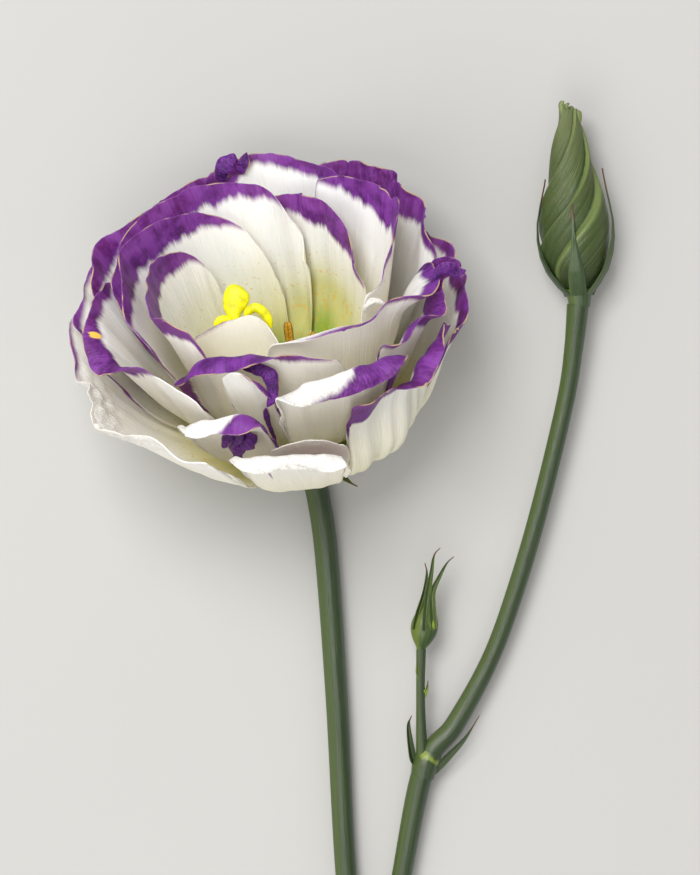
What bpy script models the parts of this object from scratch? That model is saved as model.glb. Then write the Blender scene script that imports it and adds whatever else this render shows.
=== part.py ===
"""A cut stem of lisianthus that lies on a surface: a double bloom, and a side branch with a closed
bud and a young bud.

+Z is up and +Y runs along the stem, from its cut end to the bud. The origin is on the surface,
below the middle of the whole stem's box. Sizes below are in millimetres. They become metres where
the meshes are made.
"""

import math

import bmesh
import bpy
import numpy as np

METRES = 0.001

# The bloom: where its receptacle meets the stem, how its axis leans, and how thick its blades are.
BLOOM_SEAT = (-8.0, 39.5, 7.9)
BLOOM_RISE = 41.0
BLOOM_TURN = 103.0
BLADE = 0.6
FREE_GAP = 0.3

# The receptacle is a steep cone that the claws stand round, level 0 at its top and 1 at its foot.
CLAW_TOP = (2.6, 7.0)
CLAW_STEP = (1.5, -7.0)
CLAW_HALF_WIDTH = 30.0

# A petal's wall starts at WALL_START degrees above the receptacle and bends up to WALL_END within
# WALL_RAMP mm. Each pair holds the innermost petal's value and the outermost petal's.
WALL_START = (30.0, 4.0)
WALL_END = (99.0, 59.0)
WALL_RAMP = (21.0, 32.0)

# Where across and along a petal its mesh has points. A rolled margin needs more of them.
ACROSS = (-1, -0.93, -0.82, -0.68, -0.48, -0.24, 0, 0.24, 0.48, 0.68, 0.82, 0.93, 1)
ALONG_PLAIN = (0.0, 0.14, 0.3, 0.46, 0.62, 0.76, 0.88, 1.0)
ALONG_ROLLED = (0.0, 0.16, 0.34, 0.52, 0.68, 0.8, 0.86, 0.91, 0.955, 1.0)
RAY_STEPS = 120

# Petals from the heart outwards. Some values may be one number or knots in even steps across the petal.
# level: how low the claw stands on the receptacle. rim: azimuth in degrees (0 right, 90 back, 180 left,
# 270 front), openness (0 upright, 1 wide open) and length from claw to margin, in even steps. claw and
# claw_half: middle and half width of its foot. opening: share of the length at which the wall has the
# rim's openness. belly: degrees by which the wall first leans out and then climbs more. ends: what its
# shoulders are. rolls: margins rolled outwards by an angle, centred at a place across the petal, over a
# part of its width and a depth. wave: swing in degrees, number of waves and phase.
PETALS = {
    "petal_heart_front": dict(
        level=0.0, ends=((14, 0.25), (3, 0.3)),
        rim=(
            (192, 0.38, 25), (205, 0.32, 28.9), (219, 0.23, 31.3), (234, 0.15, 32.6), (249, 0.1, 32.8),
            (261, 0.13, 31.7), (267, 0.21, 30), (269, 0.3, 27.5),
        ),
    ),
    "petal_inner_back": dict(
        level=(0.02, 0.02, 0.05, 0.21, 0.47), opening=(0.55, 0.5, 0.35, 0.25, 0.22),
        ends=((5, 0.2), (3, 0.35)),
        rim=(
            (0, 0.38, 25.5), (16, 0.38, 27.5), (21, 0.39, 31.5), (32, 0.42, 34.2), (46, 0.46, 36.7),
            (59, 0.52, 38), (70, 0.57, 38.6), (81, 0.61, 38.6),
        ),
    ),
    "petal_inner_right": dict(
        level=(0.17, 0.17, 0.2, 0.26), opening=(0.55, 0.5, 0.3, 0.25), wave=(3, 1.2, 0.6),
        ends=((6, 0.3), (4, 0.35)),
        rim=(
            (-34, 0.5, 36), (-18, 0.54, 37), (-4, 0.62, 41.5), (10, 0.65, 44.5), (26, 0.63, 44.2),
            (42, 0.61, 43.3), (58, 0.6, 41.5),
        ),
    ),
    "petal_inner_left": dict(
        level=(0.16, 0.19, 0.2, 0.2), wave=(3, 1.0, 0.0), ends=((2, 0.3), (8, 0.35)),
        rim=(
            (121.5, 0.34, 22), (124.5, 0.38, 28), (134, 0.42, 34.6), (155, 0.46, 38.8), (176, 0.5, 40.6),
            (194, 0.53, 42), (208, 0.54, 42), (222, 0.52, 41),
        ),
    ),
    "petal_inner_front_right": dict(
        level=0.29, claw_half=26, rolls=((70, -0.5, 0.55, 4), (45, 0.75, 0.4, 12)),
        rim=(
            (268, 0.34, 37), (284, 0.42, 39.5), (300, 0.52, 40.2), (314, 0.6, 39.5), (326, 0.7, 41),
            (338, 0.76, 42), (350, 0.74, 40),
        ),
    ),
    "petal_inner_back_left": dict(
        level=(0.18, 0.266, 0.325, 0.34, 0.34), wave=(4, 1.5, 0.2), ends=((2, 0.3), (10, 0.35)),
        rim=(
            (84.5, 0.35, 22), (88, 0.38, 27.4), (95.5, 0.45, 33), (109, 0.53, 38.2), (127, 0.59, 42),
            (147, 0.6, 44.2), (166, 0.61, 45.2), (182, 0.63, 45), (198, 0.65, 43),
        ),
    ),
    "petal_inner_front": dict(
        level=0.41, claw_half=26, ends=((1, 0.3), (6, 0.35)), rolls=((122, -0.45, 0.75, 6),),
        rim=(
            (220, 0.56, 37), (232, 0.5, 42), (246, 0.46, 43), (262, 0.48, 43), (276, 0.57, 40),
            (290, 0.66, 38),
        ),
    ),
    "petal_middle_back_left": dict(
        level=(0.11, 0.32, 0.47, 0.48, 0.48), opening=(0.9, 0.75, 0.55, 0.55), wave=(4, 2.0, 0.4),
        ends=((2, 0.3), (10, 0.35)),
        rim=(
            (64, 0.41, 26.5), (66.5, 0.44, 32.2), (74, 0.49, 37.2), (86, 0.57, 42), (100, 0.64, 44),
            (115, 0.69, 45.2), (130, 0.72, 45.5), (146, 0.74, 44.3), (160, 0.74, 43),
        ),
    ),
    "petal_small_front": dict(
        level=0.54, claw=252, claw_half=18, ends=((2, 0.3), (1.5, 0.3)), rolls=((50, 0.7, 0.5, 5),),
        rim=((244, 0.6, 40), (249, 0.62, 42.3), (254, 0.63, 42.8), (259, 0.64, 42), (262, 0.65, 37.5)),
    ),
    "petal_middle_right": dict(
        level=0.54, ends=((1.5, 0.3), (1.5, 0.3)), rolls=((40, 0, 1, 6),), wave=(4, 1.5, 0.0),
        rim=(
            (309, 0.72, 40), (320, 0.8, 42.5), (331, 0.84, 42.5), (342, 0.84, 43), (350, 0.88, 45),
            (356, 0.78, 41),
        ),
    ),
    "petal_middle_left": dict(
        level=0.6, claw_half=24, ends=((10, 0.35), (3, 0.35)), rolls=((80, 0, 0.35, 6),),
        rim=(
            (160, 0.8, 43), (172, 0.81, 45), (184, 0.82, 46), (195, 0.86, 44), (206, 0.74, 43),
            (220, 0.74, 42.5), (236, 0.8, 41),
        ),
    ),
    "petal_middle_back": dict(
        level=0.59, wave=(4, 1.2, 0.5),
        rim=((46, 0.68, 42), (60, 0.7, 45.2), (74, 0.73, 47.2), (88, 0.77, 48), (99, 0.78, 46.5)),
    ),
    "petal_middle_front": dict(
        level=0.68, ends=((1.5, 0.3), (2, 0.3)), rolls=((150, 0.05, 0.95, 7),),
        rim=((265.5, 0.71, 44), (275, 0.67, 46.6), (286, 0.71, 47.6), (297, 0.75, 47.8), (308, 0.78, 45.5)),
    ),
    "petal_outer_back_left": dict(
        level=0.71, wave=(3, 1.2, 0.1),
        rim=(
            (92, 0.84, 46), (104, 0.84, 47.2), (118, 0.85, 46.4), (132, 0.86, 46.8), (146, 0.87, 48),
            (158, 0.87, 46),
        ),
    ),
    "petal_outer_back_right": dict(
        level=0.74, wave=(4, 1.8, 0.7), ends=((2, 0.3), (6, 0.35)),
        rim=(
            (2, 0.75, 42), (14, 0.76, 46.5), (25, 0.76, 47.2), (36, 0.77, 48.2), (48, 0.78, 48.4),
            (60, 0.78, 47.3), (70, 0.78, 45),
        ),
    ),
    "petal_middle_front_left": dict(
        level=0.8, claw_half=24, ends=((4, 0.3), (1.5, 0.3)), rolls=((140, 0, 0.9, 5.5),),
        rim=((232, 0.86, 41.5), (239, 0.81, 44.6), (246, 0.78, 45.8), (253, 0.77, 45), (258, 0.8, 42)),
    ),
    "petal_outer_front_right": dict(
        level=0.86, claw_half=22, belly=(22, 21, 15.5, 2), ends=((1, 0.3), (4, 0.3)),
        rolls=((70, -0.1, 0.5, 6),),
        rim=(
            (290, 0.87, 40), (304, 0.9, 42.5), (314, 0.93, 44.5), (322, 0.91, 46), (330, 0.9, 45),
            (338, 0.92, 40),
        ),
    ),
    "petal_outer_left": dict(
        level=0.84, wave=(3, 1.0, 0.2),
        rim=((140, 0.95, 47), (150, 0.94, 46.4), (160, 0.94, 45.6), (170, 0.94, 45.6), (178, 0.94, 44)),
    ),
    "petal_outer_right": dict(
        level=1.0, belly=(11, 9, 0, 0), wave=(4, 1.5, 0.0), ends=((2, 0.3), (8, 0.35)),
        rim=((-20, 0.98, 41), (-10, 0.96, 45), (0, 0.91, 44.3), (12, 0.88, 43.6), (24, 0.88, 42)),
    ),
    "petal_small_low_front": dict(
        level=0.94, claw_half=14, ends=((1.5, 0.3), (4, 0.3)),
        rim=((259, 0.9, 36), (266, 0.92, 40), (275, 0.96, 40), (281, 1.0, 37)),
    ),
    "petal_low_left": dict(
        level=0.97, wave=(4, 1.5, 0.3), ends=((8, 0.35), (1.5, 0.3)),
        rim=(
            (156, 1.03, 44), (168, 1.03, 46), (180, 1.0, 44.6), (192, 0.99, 44.6), (206, 1.06, 47),
            (220, 1.04, 46), (233, 1.05, 45), (243, 1.08, 43),
        ),
    ),
    "petal_low_front": dict(
        level=1.09, claw_half=24, ends=((1.5, 0.3), (2, 0.3)), rolls=((165, 0, 1.1, 5.5),),
        rim=((250, 1.04, 45), (259, 1.03, 48), (269, 1.04, 48.5), (279, 1.08, 45.5)),
    ),
}
# A petal's shoulders: the share of each half that they take. Along each, the margin turns on by so many
# degrees and loses this share of its length, unless the petal's ends say otherwise.
SHOULDER = 0.22
SHOULDER_ENDS = ((10, 0.35), (10, 0.35))
# Shares of the length: over SPREAD a petal changes from its claw's width to its rim's, at OPENING_OUT its
# wall has the rim's openness, and BELLY_REACH is as far as a belly goes.
SPREAD = 0.5
OPENING_OUT = 0.55
BELLY_REACH = 0.85

# The receptacle's own outline: how far it lies inside the claws' ends, its tip, and its neck below.
CONE_INSIDE = 0.55
CONE_TIP = (1.4, 7.4)
NECK_PROFILE = ((2.3, -4.0), (3.4, -3.4), (4.2, -2.7), (4.4, -2.2), (4.0, -1.6))

# The bloom's sepals: azimuth, openness, length. Their feet are sunk into the receptacle.
SEPAL_LEVEL = 1.27
SEPAL_ROOT = 1.6
SEPAL_HALF_WIDTH = 1.2
SEPAL_DISH = 0.1
SEPALS = ((0, 1.12, 21), (81, 0.87, 17), (144, 1.05, 16), (214, 1.2, 13), (289, 1.14, 19))

# Stems: points of the middle line (x, y, z) and the radius there.
MAIN_STEM = ((5.2, -97.5, 2.5, 2.5), (4.9, -88.0, 2.7, 2.5), (4.6, -79.0, 3.0, 2.6))
BLOOM_STEM = (
    (4.6, -80.2, 3.0, 2.3), (2.6, -62.0, 3.1, 2.0), (0.1, -42.4, 3.2, 1.9), (-1.6, -10.5, 3.2, 2.0),
    (-3.4, 15.0, 3.0, 2.1), (-4.9, 26.0, 2.8, 2.1),
)
BRANCH = (
    (4.6, -80.2, 3.0, 2.2), (7.4, -60.0, 3.4, 1.9), (10.2, -42.4, 3.8, 1.8), (14.4, -22.3, 4.2, 2.0),
    (19.9, -14.8, 4.3, 1.8), (26.5, -2.5, 4.5, 1.6), (31.4, 11.2, 4.9, 1.6), (35.6, 25.9, 5.4, 1.6),
    (39.9, 44.1, 6.1, 1.6), (41.3, 53.2, 6.6, 1.7), (42.1, 61.3, 7.0, 2.0),
)
STALK = ((14.2, -24.0, 4.4, 1.3), (13.8, -18.0, 5.0, 1.0), (13.6, -9.0, 5.6, 0.8), (13.7, -1.1, 6.0, 0.9))
STEM_SIDES = 10


def ease(x):
    """0 below 0, 1 above 1, and a smooth step between them."""
    x = np.clip(x, 0.0, 1.0)
    return x * x * (3.0 - 2.0 * x)


def between(pair, share):
    return pair[0] + (pair[1] - pair[0]) * share


def through(knots, place):
    """The smooth curve through evenly spaced knots, read at places from 0 to 1."""
    knots = np.asarray(knots, float)
    spans = len(knots) - 1
    along = np.clip(np.asarray(place, float) * spans, 0.0, spans)
    first = np.minimum(along.astype(int), spans - 1)
    part = along - first
    if knots.ndim > 1:
        part = part[..., None]
    ends = np.concatenate([[2 * knots[0] - knots[1]], knots, [2 * knots[-1] - knots[-2]]])
    a, b, c, d = ends[first], ends[first + 1], ends[first + 2], ends[first + 3]
    square = part * part
    cube = square * part
    bend = (2 * a - 5 * b + 4 * c - d) * square + (3 * b - a - 3 * c + d) * cube
    return 0.5 * (2 * b + (c - a) * part + bend)


def bloom_axes():
    """The bloom's right, back and up directions."""
    rise, turn = math.radians(BLOOM_RISE), math.radians(BLOOM_TURN)
    up = np.array((math.cos(rise) * math.cos(turn), math.cos(rise) * math.sin(turn), math.sin(rise)))
    right = np.cross(up, (0.0, 0.0, 1.0))
    right /= np.linalg.norm(right)
    return np.array((right, np.cross(up, right), up))


def in_place(points):
    """Points of the bloom, set on its seat. What would reach below the surface is pressed flat on it."""
    placed = np.asarray(points) @ bloom_axes() + np.array(BLOOM_SEAT)
    placed[..., 2] = np.maximum(placed[..., 2], BLADE / 2)
    return placed


def wall(level, rim_open, length, share, bend=0.0, opening=OPENING_OUT):
    """Radius and height along rays that climb from the claw to the margin."""
    run = share * length
    openness = level + (rim_open - level) * ease(share / opening)
    climb = between(WALL_START, openness)
    climb = climb + (between(WALL_END, openness) - climb) * ease(run / between(WALL_RAMP, openness))
    climb = np.radians(climb - bend)
    step = length / (share.shape[-1] - 1)
    radius, height = np.cos(climb), np.sin(climb)
    still = np.zeros_like(radius[:, :1])
    radius = np.concatenate([still, np.cumsum((radius[:, 1:] + radius[:, :-1]) / 2 * step, 1)], 1)
    height = np.concatenate([still, np.cumsum((height[:, 1:] + height[:, :-1]) / 2 * step, 1)], 1)
    return CLAW_TOP[0] + CLAW_STEP[0] * level + radius, CLAW_TOP[1] + CLAW_STEP[1] * level + height


def petal_rim(petal, side):
    """Azimuth, openness and length of the margin: its stations, and a rounded shoulder at each end."""
    place = np.clip(side / (1 - SHOULDER), -1, 1)
    azimuth, rim_open, length = np.split(through(petal["rim"], (place[:, 0] + 1) / 2), 3, axis=1)
    quarter = np.clip((np.abs(side) - 1) / SHOULDER + 1, 0, 1) * np.pi / 2
    first, last = petal.get("ends", SHOULDER_ENDS)
    turn, fall = [np.where(side < 0, a, b) for a, b in zip(first, last)]
    azimuth = azimuth + np.sign(side) * turn * np.sin(quarter)
    return azimuth, rim_open, length * (1 - fall * (1 - np.cos(quarter)))


def petal_points(petal, across, along):
    """Points of a petal's middle surface in the bloom's frame, one row for each place across it."""
    side = np.asarray(across, float)[:, None]
    azimuth, rim_open, length = petal_rim(petal, side)
    level, opening, belly = [
        through(value, (side + 1) / 2) if isinstance(value, tuple) else value
        for value in (petal["level"], petal.get("opening", OPENING_OUT), petal.get("belly", 0.0))
    ]
    place = side / (1 - SHOULDER)
    share = np.broadcast_to(np.linspace(0, 1, RAY_STEPS)[None, :], (len(side), RAY_STEPS))
    bend = belly * np.sin(2 * np.pi * np.minimum(share / BELLY_REACH, 1.0))
    if "wave" in petal:
        swing, count, phase = petal["wave"]
        bend = bend - swing * np.sin(2 * np.pi * (count * place + phase)) * ease((share - 0.5) / 0.5)
    for turn, middle, width, depth in petal.get("rolls", ()):
        reach = np.exp(-np.abs((place - middle) / width) ** 3)
        bend = bend + turn * reach * ease((share * length - length + depth) / depth * 1.1)
    radius, height = wall(level, rim_open, length, share, bend, opening)
    claw = petal.get("claw", (petal["rim"][0][0] + petal["rim"][-1][0]) / 2)
    claw = claw + side * petal.get("claw_half", CLAW_HALF_WIDTH)
    azimuth = np.radians(claw + (azimuth - claw) * ease(share / SPREAD))
    rays = np.stack([radius * np.cos(azimuth), radius * np.sin(azimuth), height], -1)
    return through(rays.transpose(1, 0, 2).reshape(RAY_STEPS, -1), along).reshape(len(along), len(side), 3)


def made(name, points, faces, material, smooth=True):
    """A mesh object from points in millimetres."""
    mesh = bpy.data.meshes.new(name)
    mesh.from_pydata((np.asarray(points, float) * METRES).tolist(), [], [list(face) for face in faces])
    mesh.validate()
    work = bmesh.new()
    work.from_mesh(mesh)
    bmesh.ops.recalc_face_normals(work, faces=work.faces)
    work.to_mesh(mesh)
    work.free()
    mesh.materials.append(material)
    if smooth:
        mesh.shade_smooth()
        mesh.set_sharp_from_angle(angle=math.radians(50))
    piece = bpy.data.objects.new(name, mesh)
    bpy.context.scene.collection.objects.link(piece)
    return piece


def blade(name, rows, thickness, material):
    """A closed blade of even thickness round a grid of points, split alike on both faces."""
    rows = np.asarray(rows, float)
    down = np.gradient(rows, axis=0)
    over = np.gradient(rows, axis=1)
    normal = np.cross(down, over)
    normal /= np.linalg.norm(normal, axis=-1, keepdims=True) + 1e-12
    half = thickness / 2
    points = np.concatenate([(rows + normal * half).reshape(-1, 3), (rows - normal * half).reshape(-1, 3)])
    high, wide = rows.shape[:2]
    other = high * wide
    faces = []
    for i in range(high - 1):
        for j in range(wide - 1):
            a, b, c, d = i * wide + j, i * wide + j + 1, (i + 1) * wide + j + 1, (i + 1) * wide + j
            faces += [(a, b, c), (a, c, d)]
            faces += [(other + c, other + b, other + a), (other + d, other + c, other + a)]
    edge = list(range(wide))
    edge += [i * wide + wide - 1 for i in range(1, high)]
    edge += [(high - 1) * wide + j for j in range(wide - 2, -1, -1)]
    edge += [i * wide for i in range(high - 2, 0, -1)]
    for a, b in zip(edge, edge[1:] + edge[:1]):
        faces += [(a, other + a, other + b), (a, other + b, b)]
    return made(name, points, faces, material)


def tube(name, line, sides, material, steps=4.5):
    """A round stem along a smooth curve through points that carry their radius."""
    line = np.asarray(line, float)
    length = np.linalg.norm(np.diff(line[:, :3], axis=0), axis=1).sum()
    spots = through(line, np.linspace(0, 1, max(3, int(round(length / steps)) + 1)))
    middle, radius = spots[:, :3], spots[:, 3]
    ahead = np.gradient(middle, axis=0)
    ahead /= np.linalg.norm(ahead, axis=1, keepdims=True)
    level = np.cross(ahead, (0.0, 0.0, 1.0))
    level /= np.linalg.norm(level, axis=1, keepdims=True)
    upright = np.cross(level, ahead)
    turn = np.linspace(0, 2 * np.pi, sides, endpoint=False) - np.pi / 2
    rings = middle[:, None] + radius[:, None, None] * (
        np.cos(turn)[None, :, None] * level[:, None] + np.sin(turn)[None, :, None] * upright[:, None]
    )
    return skin(name, rings, material)


def skin(name, rings, material):
    """A closed solid through rings of points, with flat ends."""
    rings = np.asarray(rings, float)
    count, sides = rings.shape[:2]
    faces = [tuple(range(sides)), tuple(range((count - 1) * sides, count * sides))[::-1]]
    for i in range(count - 1):
        for j in range(sides):
            k = (j + 1) % sides
            faces.append((i * sides + j, i * sides + k, (i + 1) * sides + k, (i + 1) * sides + j))
    return made(name, rings.reshape(-1, 3), faces, material)


def circle(radius, height, sides):
    """Points round a level circle. The radius may be one number or one for each point."""
    turn = np.linspace(0, 2 * np.pi, sides, endpoint=False)
    return np.stack([radius * np.cos(turn), radius * np.sin(turn), np.full(sides, height)], -1)


def turned(name, profile, sides, material, place):
    """A solid of revolution from (radius, height) points, set in its place by a function."""
    rings = np.array([circle(radius, height, sides) for radius, height in profile])
    return skin(name, place(rings), material)


def fused(name, pieces, material):
    """One body from overlapping pieces."""
    base, rest = pieces[0], pieces[1:]
    group = bpy.data.collections.new(name + "_parts")
    bpy.context.scene.collection.children.link(group)
    for piece in rest:
        bpy.context.scene.collection.objects.unlink(piece)
        group.objects.link(piece)
    union = base.modifiers.new("union", "BOOLEAN")
    union.operation = "UNION"
    union.operand_type = "COLLECTION"
    union.collection = group
    union.solver = "EXACT"
    graph = bpy.context.evaluated_depsgraph_get()
    mesh = bpy.data.meshes.new_from_object(base.evaluated_get(graph))
    base.modifiers.clear()
    base.data = mesh
    for piece in list(group.objects):
        bpy.data.objects.remove(piece)
    bpy.data.collections.remove(group)
    mesh.materials.clear()
    mesh.materials.append(material)
    mesh.set_sharp_from_angle(angle=math.radians(50))
    base.name = name
    mesh.name = name
    return base


def finish(name, colour, roughness, transmission=0.0):
    material = bpy.data.materials.new(name)
    material.use_nodes = True
    shader = material.node_tree.nodes["Principled BSDF"]
    shader.inputs["Base Color"].default_value = (*colour, 1.0)
    shader.inputs["Roughness"].default_value = roughness
    shader.inputs["Metallic"].default_value = 0.0
    shader.inputs["Subsurface Weight"].default_value = transmission
    material.diffuse_color = (*colour, 1.0)
    return material


def petals(material):
    for name, petal in PETALS.items():
        along = ALONG_ROLLED if "rolls" in petal else ALONG_PLAIN
        rows = petal_points(petal, ACROSS, along)
        blade(name, in_place(rows), BLADE, material)


def ellipsoid(name, centre, radii, material, axes, sides=10, rings=7):
    """An egg-shaped solid: its third radius runs along the last of its axes."""
    angles = np.linspace(-0.5, 0.5, rings + 2)[1:-1] * np.pi
    loops = np.array([circle(math.cos(angle), math.sin(angle), sides) for angle in angles])
    return skin(name, (loops * radii) @ axes + np.array(centre), material)


def around(azimuth):
    """The outward and the sideways direction at an azimuth in degrees."""
    turn = math.radians(azimuth)
    return np.array((math.cos(turn), math.sin(turn), 0.0)), np.array((-math.sin(turn), math.cos(turn), 0.0))


def frame_along(direction):
    """Three axes whose last one runs along a direction."""
    last = np.asarray(direction, float)
    last = last / np.linalg.norm(last)
    first = np.cross((0.0, 0.0, 1.0), last)
    if np.linalg.norm(first) < 0.1:
        first = np.cross((0.0, 1.0, 0.0), last)
    first /= np.linalg.norm(first)
    return np.array((first, np.cross(last, first), last))


def calyx(material):
    """The receptacle, with a short neck over the stem's end and five narrow sepals."""
    levels = np.array((1.1, 0.5, 0.0))
    cone = zip(CLAW_TOP[0] - CONE_INSIDE + CLAW_STEP[0] * levels, CLAW_TOP[1] + CLAW_STEP[1] * levels)
    profile = NECK_PROFILE + tuple(cone) + (CONE_TIP,)
    pieces = [turned("receptacle", profile, 20, material, in_place)]
    fine = np.linspace(0, 1, 41)[None, :]
    share = np.linspace(0, 1, len(NARROW_LEAF))
    for azimuth, openness, length in SEPALS:
        radius, height = wall(SEPAL_LEVEL, openness, length, fine)
        radius, height = through(radius[0], share), through(height[0], share)
        radius[0] -= SEPAL_ROOT
        out, side = around(azimuth)
        width = SEPAL_HALF_WIDTH * np.array(NARROW_LEAF)
        rows = [
            [out * r + side * w * s + np.array((0, 0, h + SEPAL_DISH * w * abs(s))) for s in LEAF_SIDES]
            for r, h, w in zip(radius, height, width)
        ]
        pieces.append(blade("sepal", in_place(rows), BLADE, material))
    fused("calyx", pieces, material)


PISTIL_LOBES = (
    ((-6.2, 5.6, 26.6), (2.6, 1.5, 3.2), (-0.25, 0.35, 1.0)),
    ((-2.7, 1.7, 26.0), (2.3, 1.4, 2.6), (0.7, -0.5, 0.8)),
    ((-7.7, 2.6, 25.3), (2.0, 1.3, 3.0), (-0.9, -0.3, 0.7)),
)
OVARY = ((1.1, 7.7), (1.2, 8.8), (1.8, 10.4), (2.0, 12.2), (1.7, 14.2), (1.1, 15.8), (0.7, 16.3))
STYLE = ((0.0, 0.0, 15.0, 1.0), (-1.4, 0.7, 18.5, 0.75), (-3.6, 1.9, 21.8, 0.75), (-5.6, 3.2, 24.8, 1.1))


def pistil(material):
    """The ovary, its bent style and a stigma with three lobes."""
    pieces = [turned("ovary", OVARY, 12, material, in_place)]
    line = np.array(STYLE)
    line[:, :3] = in_place(line[:, :3])
    pieces.append(tube("style", line, 8, material, steps=2.0))
    axes = bloom_axes()
    for centre, radii, lean in PISTIL_LOBES:
        lobe_axes = frame_along(np.array(lean) @ axes)
        pieces.append(ellipsoid("lobe", in_place(np.array(centre)), radii, material, lobe_axes))
    fused("pistil", pieces, material)


# Stamens stand on a ring round the ovary's foot. Each filament gives radius, height, thickness.
STAMENS = 6
STAMEN_TURN = 73.0
RING_SECTION = ((1.65, 7.75), (2.3, 7.75), (2.3, 8.5), (1.65, 8.5))
RING_SIDES = 18
FILAMENT = ((1.95, 8.1, 0.4), (2.9, 9.6, 0.34), (4.0, 12.0, 0.3), (5.2, 16.3, 0.3))
ANTHER_PLACE = (5.5, 17.5)
ANTHER_LEAN = 0.35
ANTHER_RADII = (0.75, 0.55, 2.1)


def stamens(material):
    """A ring round the ovary's foot that carries six filaments and their anthers."""
    loops = np.array([circle(radius, height, RING_SIDES) for radius, height in RING_SECTION])
    faces = []
    for i in range(len(RING_SECTION)):
        low, high = i * RING_SIDES, (i + 1) % len(RING_SECTION) * RING_SIDES
        for j in range(RING_SIDES):
            k = (j + 1) % RING_SIDES
            faces.append((low + j, low + k, high + k, high + j))
    pieces = [made("ring", in_place(loops.reshape(-1, 3)), faces, material)]
    up = np.array((0.0, 0.0, 1.0))
    for i in range(STAMENS):
        out, _ = around(STAMEN_TURN + 360 / STAMENS * i)
        line = np.array([(*(out * radius + up * height), thick) for radius, height, thick in FILAMENT])
        line[:, :3] = in_place(line[:, :3])
        pieces.append(tube("filament", line, 6, material, steps=2.0))
        tip = in_place(out * ANTHER_PLACE[0] + up * ANTHER_PLACE[1])
        lean = frame_along((out * ANTHER_LEAN + up) @ bloom_axes())
        pieces.append(ellipsoid("anther", tip, ANTHER_RADII, material, lean, sides=8, rings=5))
    fused("stamens", pieces, material)


# Bracts and the bloom's sepals taper like this from foot to tip. Every narrow leaf has its two edges
# and a middle line.
NARROW_LEAF = (1.0, 1.0, 0.85, 0.65, 0.42, 0.22)
LEAF_SIDES = (-1.0, 0.0, 1.0)
BRACT_HALF_WIDTH = 0.9
STALK_BRACT_HALF_WIDTH = 0.6
BRACT_TILT = 35.0
BRACTS = (
    ((12.9, -22.0, 4.4), (12.1, -20.5, 4.6), (11.4, -15.2, 5.0), (12.0, -13.2, 5.6)),
    ((15.9, -23.4, 4.2), (18.6, -20.6, 4.5), (21.6, -17.4, 5.0), (24.3, -13.2, 5.6)),
    ((3.2, -79.6, 3.4), (1.4, -76.6, 4.0), (0.2, -72.2, 4.4), (-0.2, -68.4, 4.8)),
    ((6.2, -79.8, 3.4), (8.6, -77.4, 4.2), (10.0, -73.4, 4.6), (10.6, -69.4, 5.0)),
)
STALK_BRACTS = (
    ((13.6, -10.2, 5.6), (14.6, -8.6, 5.8), (15.0, -6.8, 6.0)),
    ((13.6, -6.4, 5.8), (13.0, -5.0, 6.2), (12.9, -3.4, 6.4)),
)


def bract(line, half_width, material):
    """A narrow pointed leaf along a few points, tilted a little off the level."""
    middle = through(line, np.linspace(0, 1, len(NARROW_LEAF)))
    ahead = np.gradient(middle, axis=0)
    ahead /= np.linalg.norm(ahead, axis=1, keepdims=True)
    level = np.cross((0.0, 0.0, 1.0), ahead)
    level /= np.linalg.norm(level, axis=1, keepdims=True)
    tilt = math.radians(BRACT_TILT)
    side = level * math.cos(tilt) + np.cross(ahead, level) * math.sin(tilt)
    width = half_width * np.array(NARROW_LEAF)
    rows = [[m + s * w * k for k in LEAF_SIDES] for m, s, w in zip(middle, side, width)]
    return blade("bract", rows, BLADE, material)


def stem(material):
    """The cut stem that forks into the bloom's stem and the branch, with the young bud's stalk."""
    neck = [np.array(BLOOM_SEAT) - bloom_axes()[2] * (4.0 + FREE_GAP + back) for back in (3.6, 1.8, 0.0)]
    line = BLOOM_STEM + tuple((*point, 2.15) for point in neck)
    pieces = [tube("main", MAIN_STEM, STEM_SIDES, material)]
    pieces.append(tube("bloom_stem", line, STEM_SIDES, material))
    pieces.append(tube("branch", BRANCH, STEM_SIDES, material))
    pieces.append(tube("stalk", STALK, 8, material, steps=3.5))
    pieces += [bract(line, BRACT_HALF_WIDTH, material) for line in BRACTS]
    pieces += [bract(line, STALK_BRACT_HALF_WIDTH, material) for line in STALK_BRACTS]
    fused("stem", pieces, material)


# The closed bud: its foot, its tip, and its radius at shares of its length.
BUD_FOOT = (42.2, 64.3, 7.12)
BUD_TIP = (40.1, 97.6, 8.52)
BUD_PROFILE = (
    (0.0, 2.0), (0.04, 3.6), (0.1, 5.2), (0.18, 6.2), (0.27, 6.6), (0.36, 6.45), (0.46, 5.7), (0.56, 4.8),
    (0.66, 4.0), (0.76, 3.3), (0.85, 2.6), (0.93, 1.8), (1.0, 0.8),
)
# Its petals wrap round each other. Each one's free edge stands out by BUD_FOLD of the radius, winds
# BUD_TWIST of a turn from foot to tip, and drops back over the last part of the petal's share.
BUD_PETALS = 5
BUD_TWIST = 0.62
BUD_FOLD = 0.16
BUD_EDGE = 0.82
BUD_SIDES = 6 * BUD_PETALS
# The cup below the bud, and its sepals: azimuth, reach as a share of the bud, how far the tip stands off.
BUD_CUP = ((2.0, -2.3), (2.6, -1.6), (3.2, -0.9), (3.4, -FREE_GAP))
BUD_SEPALS = ((12, 0.62, 0.0), (84, 0.46, 0.0), (156, 0.66, 1.6), (228, 0.55, 0.0), (300, 0.5, 0.0))
BUD_SEPAL_HALF_WIDTHS = (1.5, 1.5, 1.25, 1.0, 0.75, 0.5, 0.25)
BUD_SEPAL_ROOT = (2.6, -1.3)
BUD_SEPAL_GAP = 0.35
BUD_SWELL = 1.09


def bud_frame():
    foot, tip = np.array(BUD_FOOT), np.array(BUD_TIP)
    return foot, np.linalg.norm(tip - foot), frame_along(tip - foot)


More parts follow.
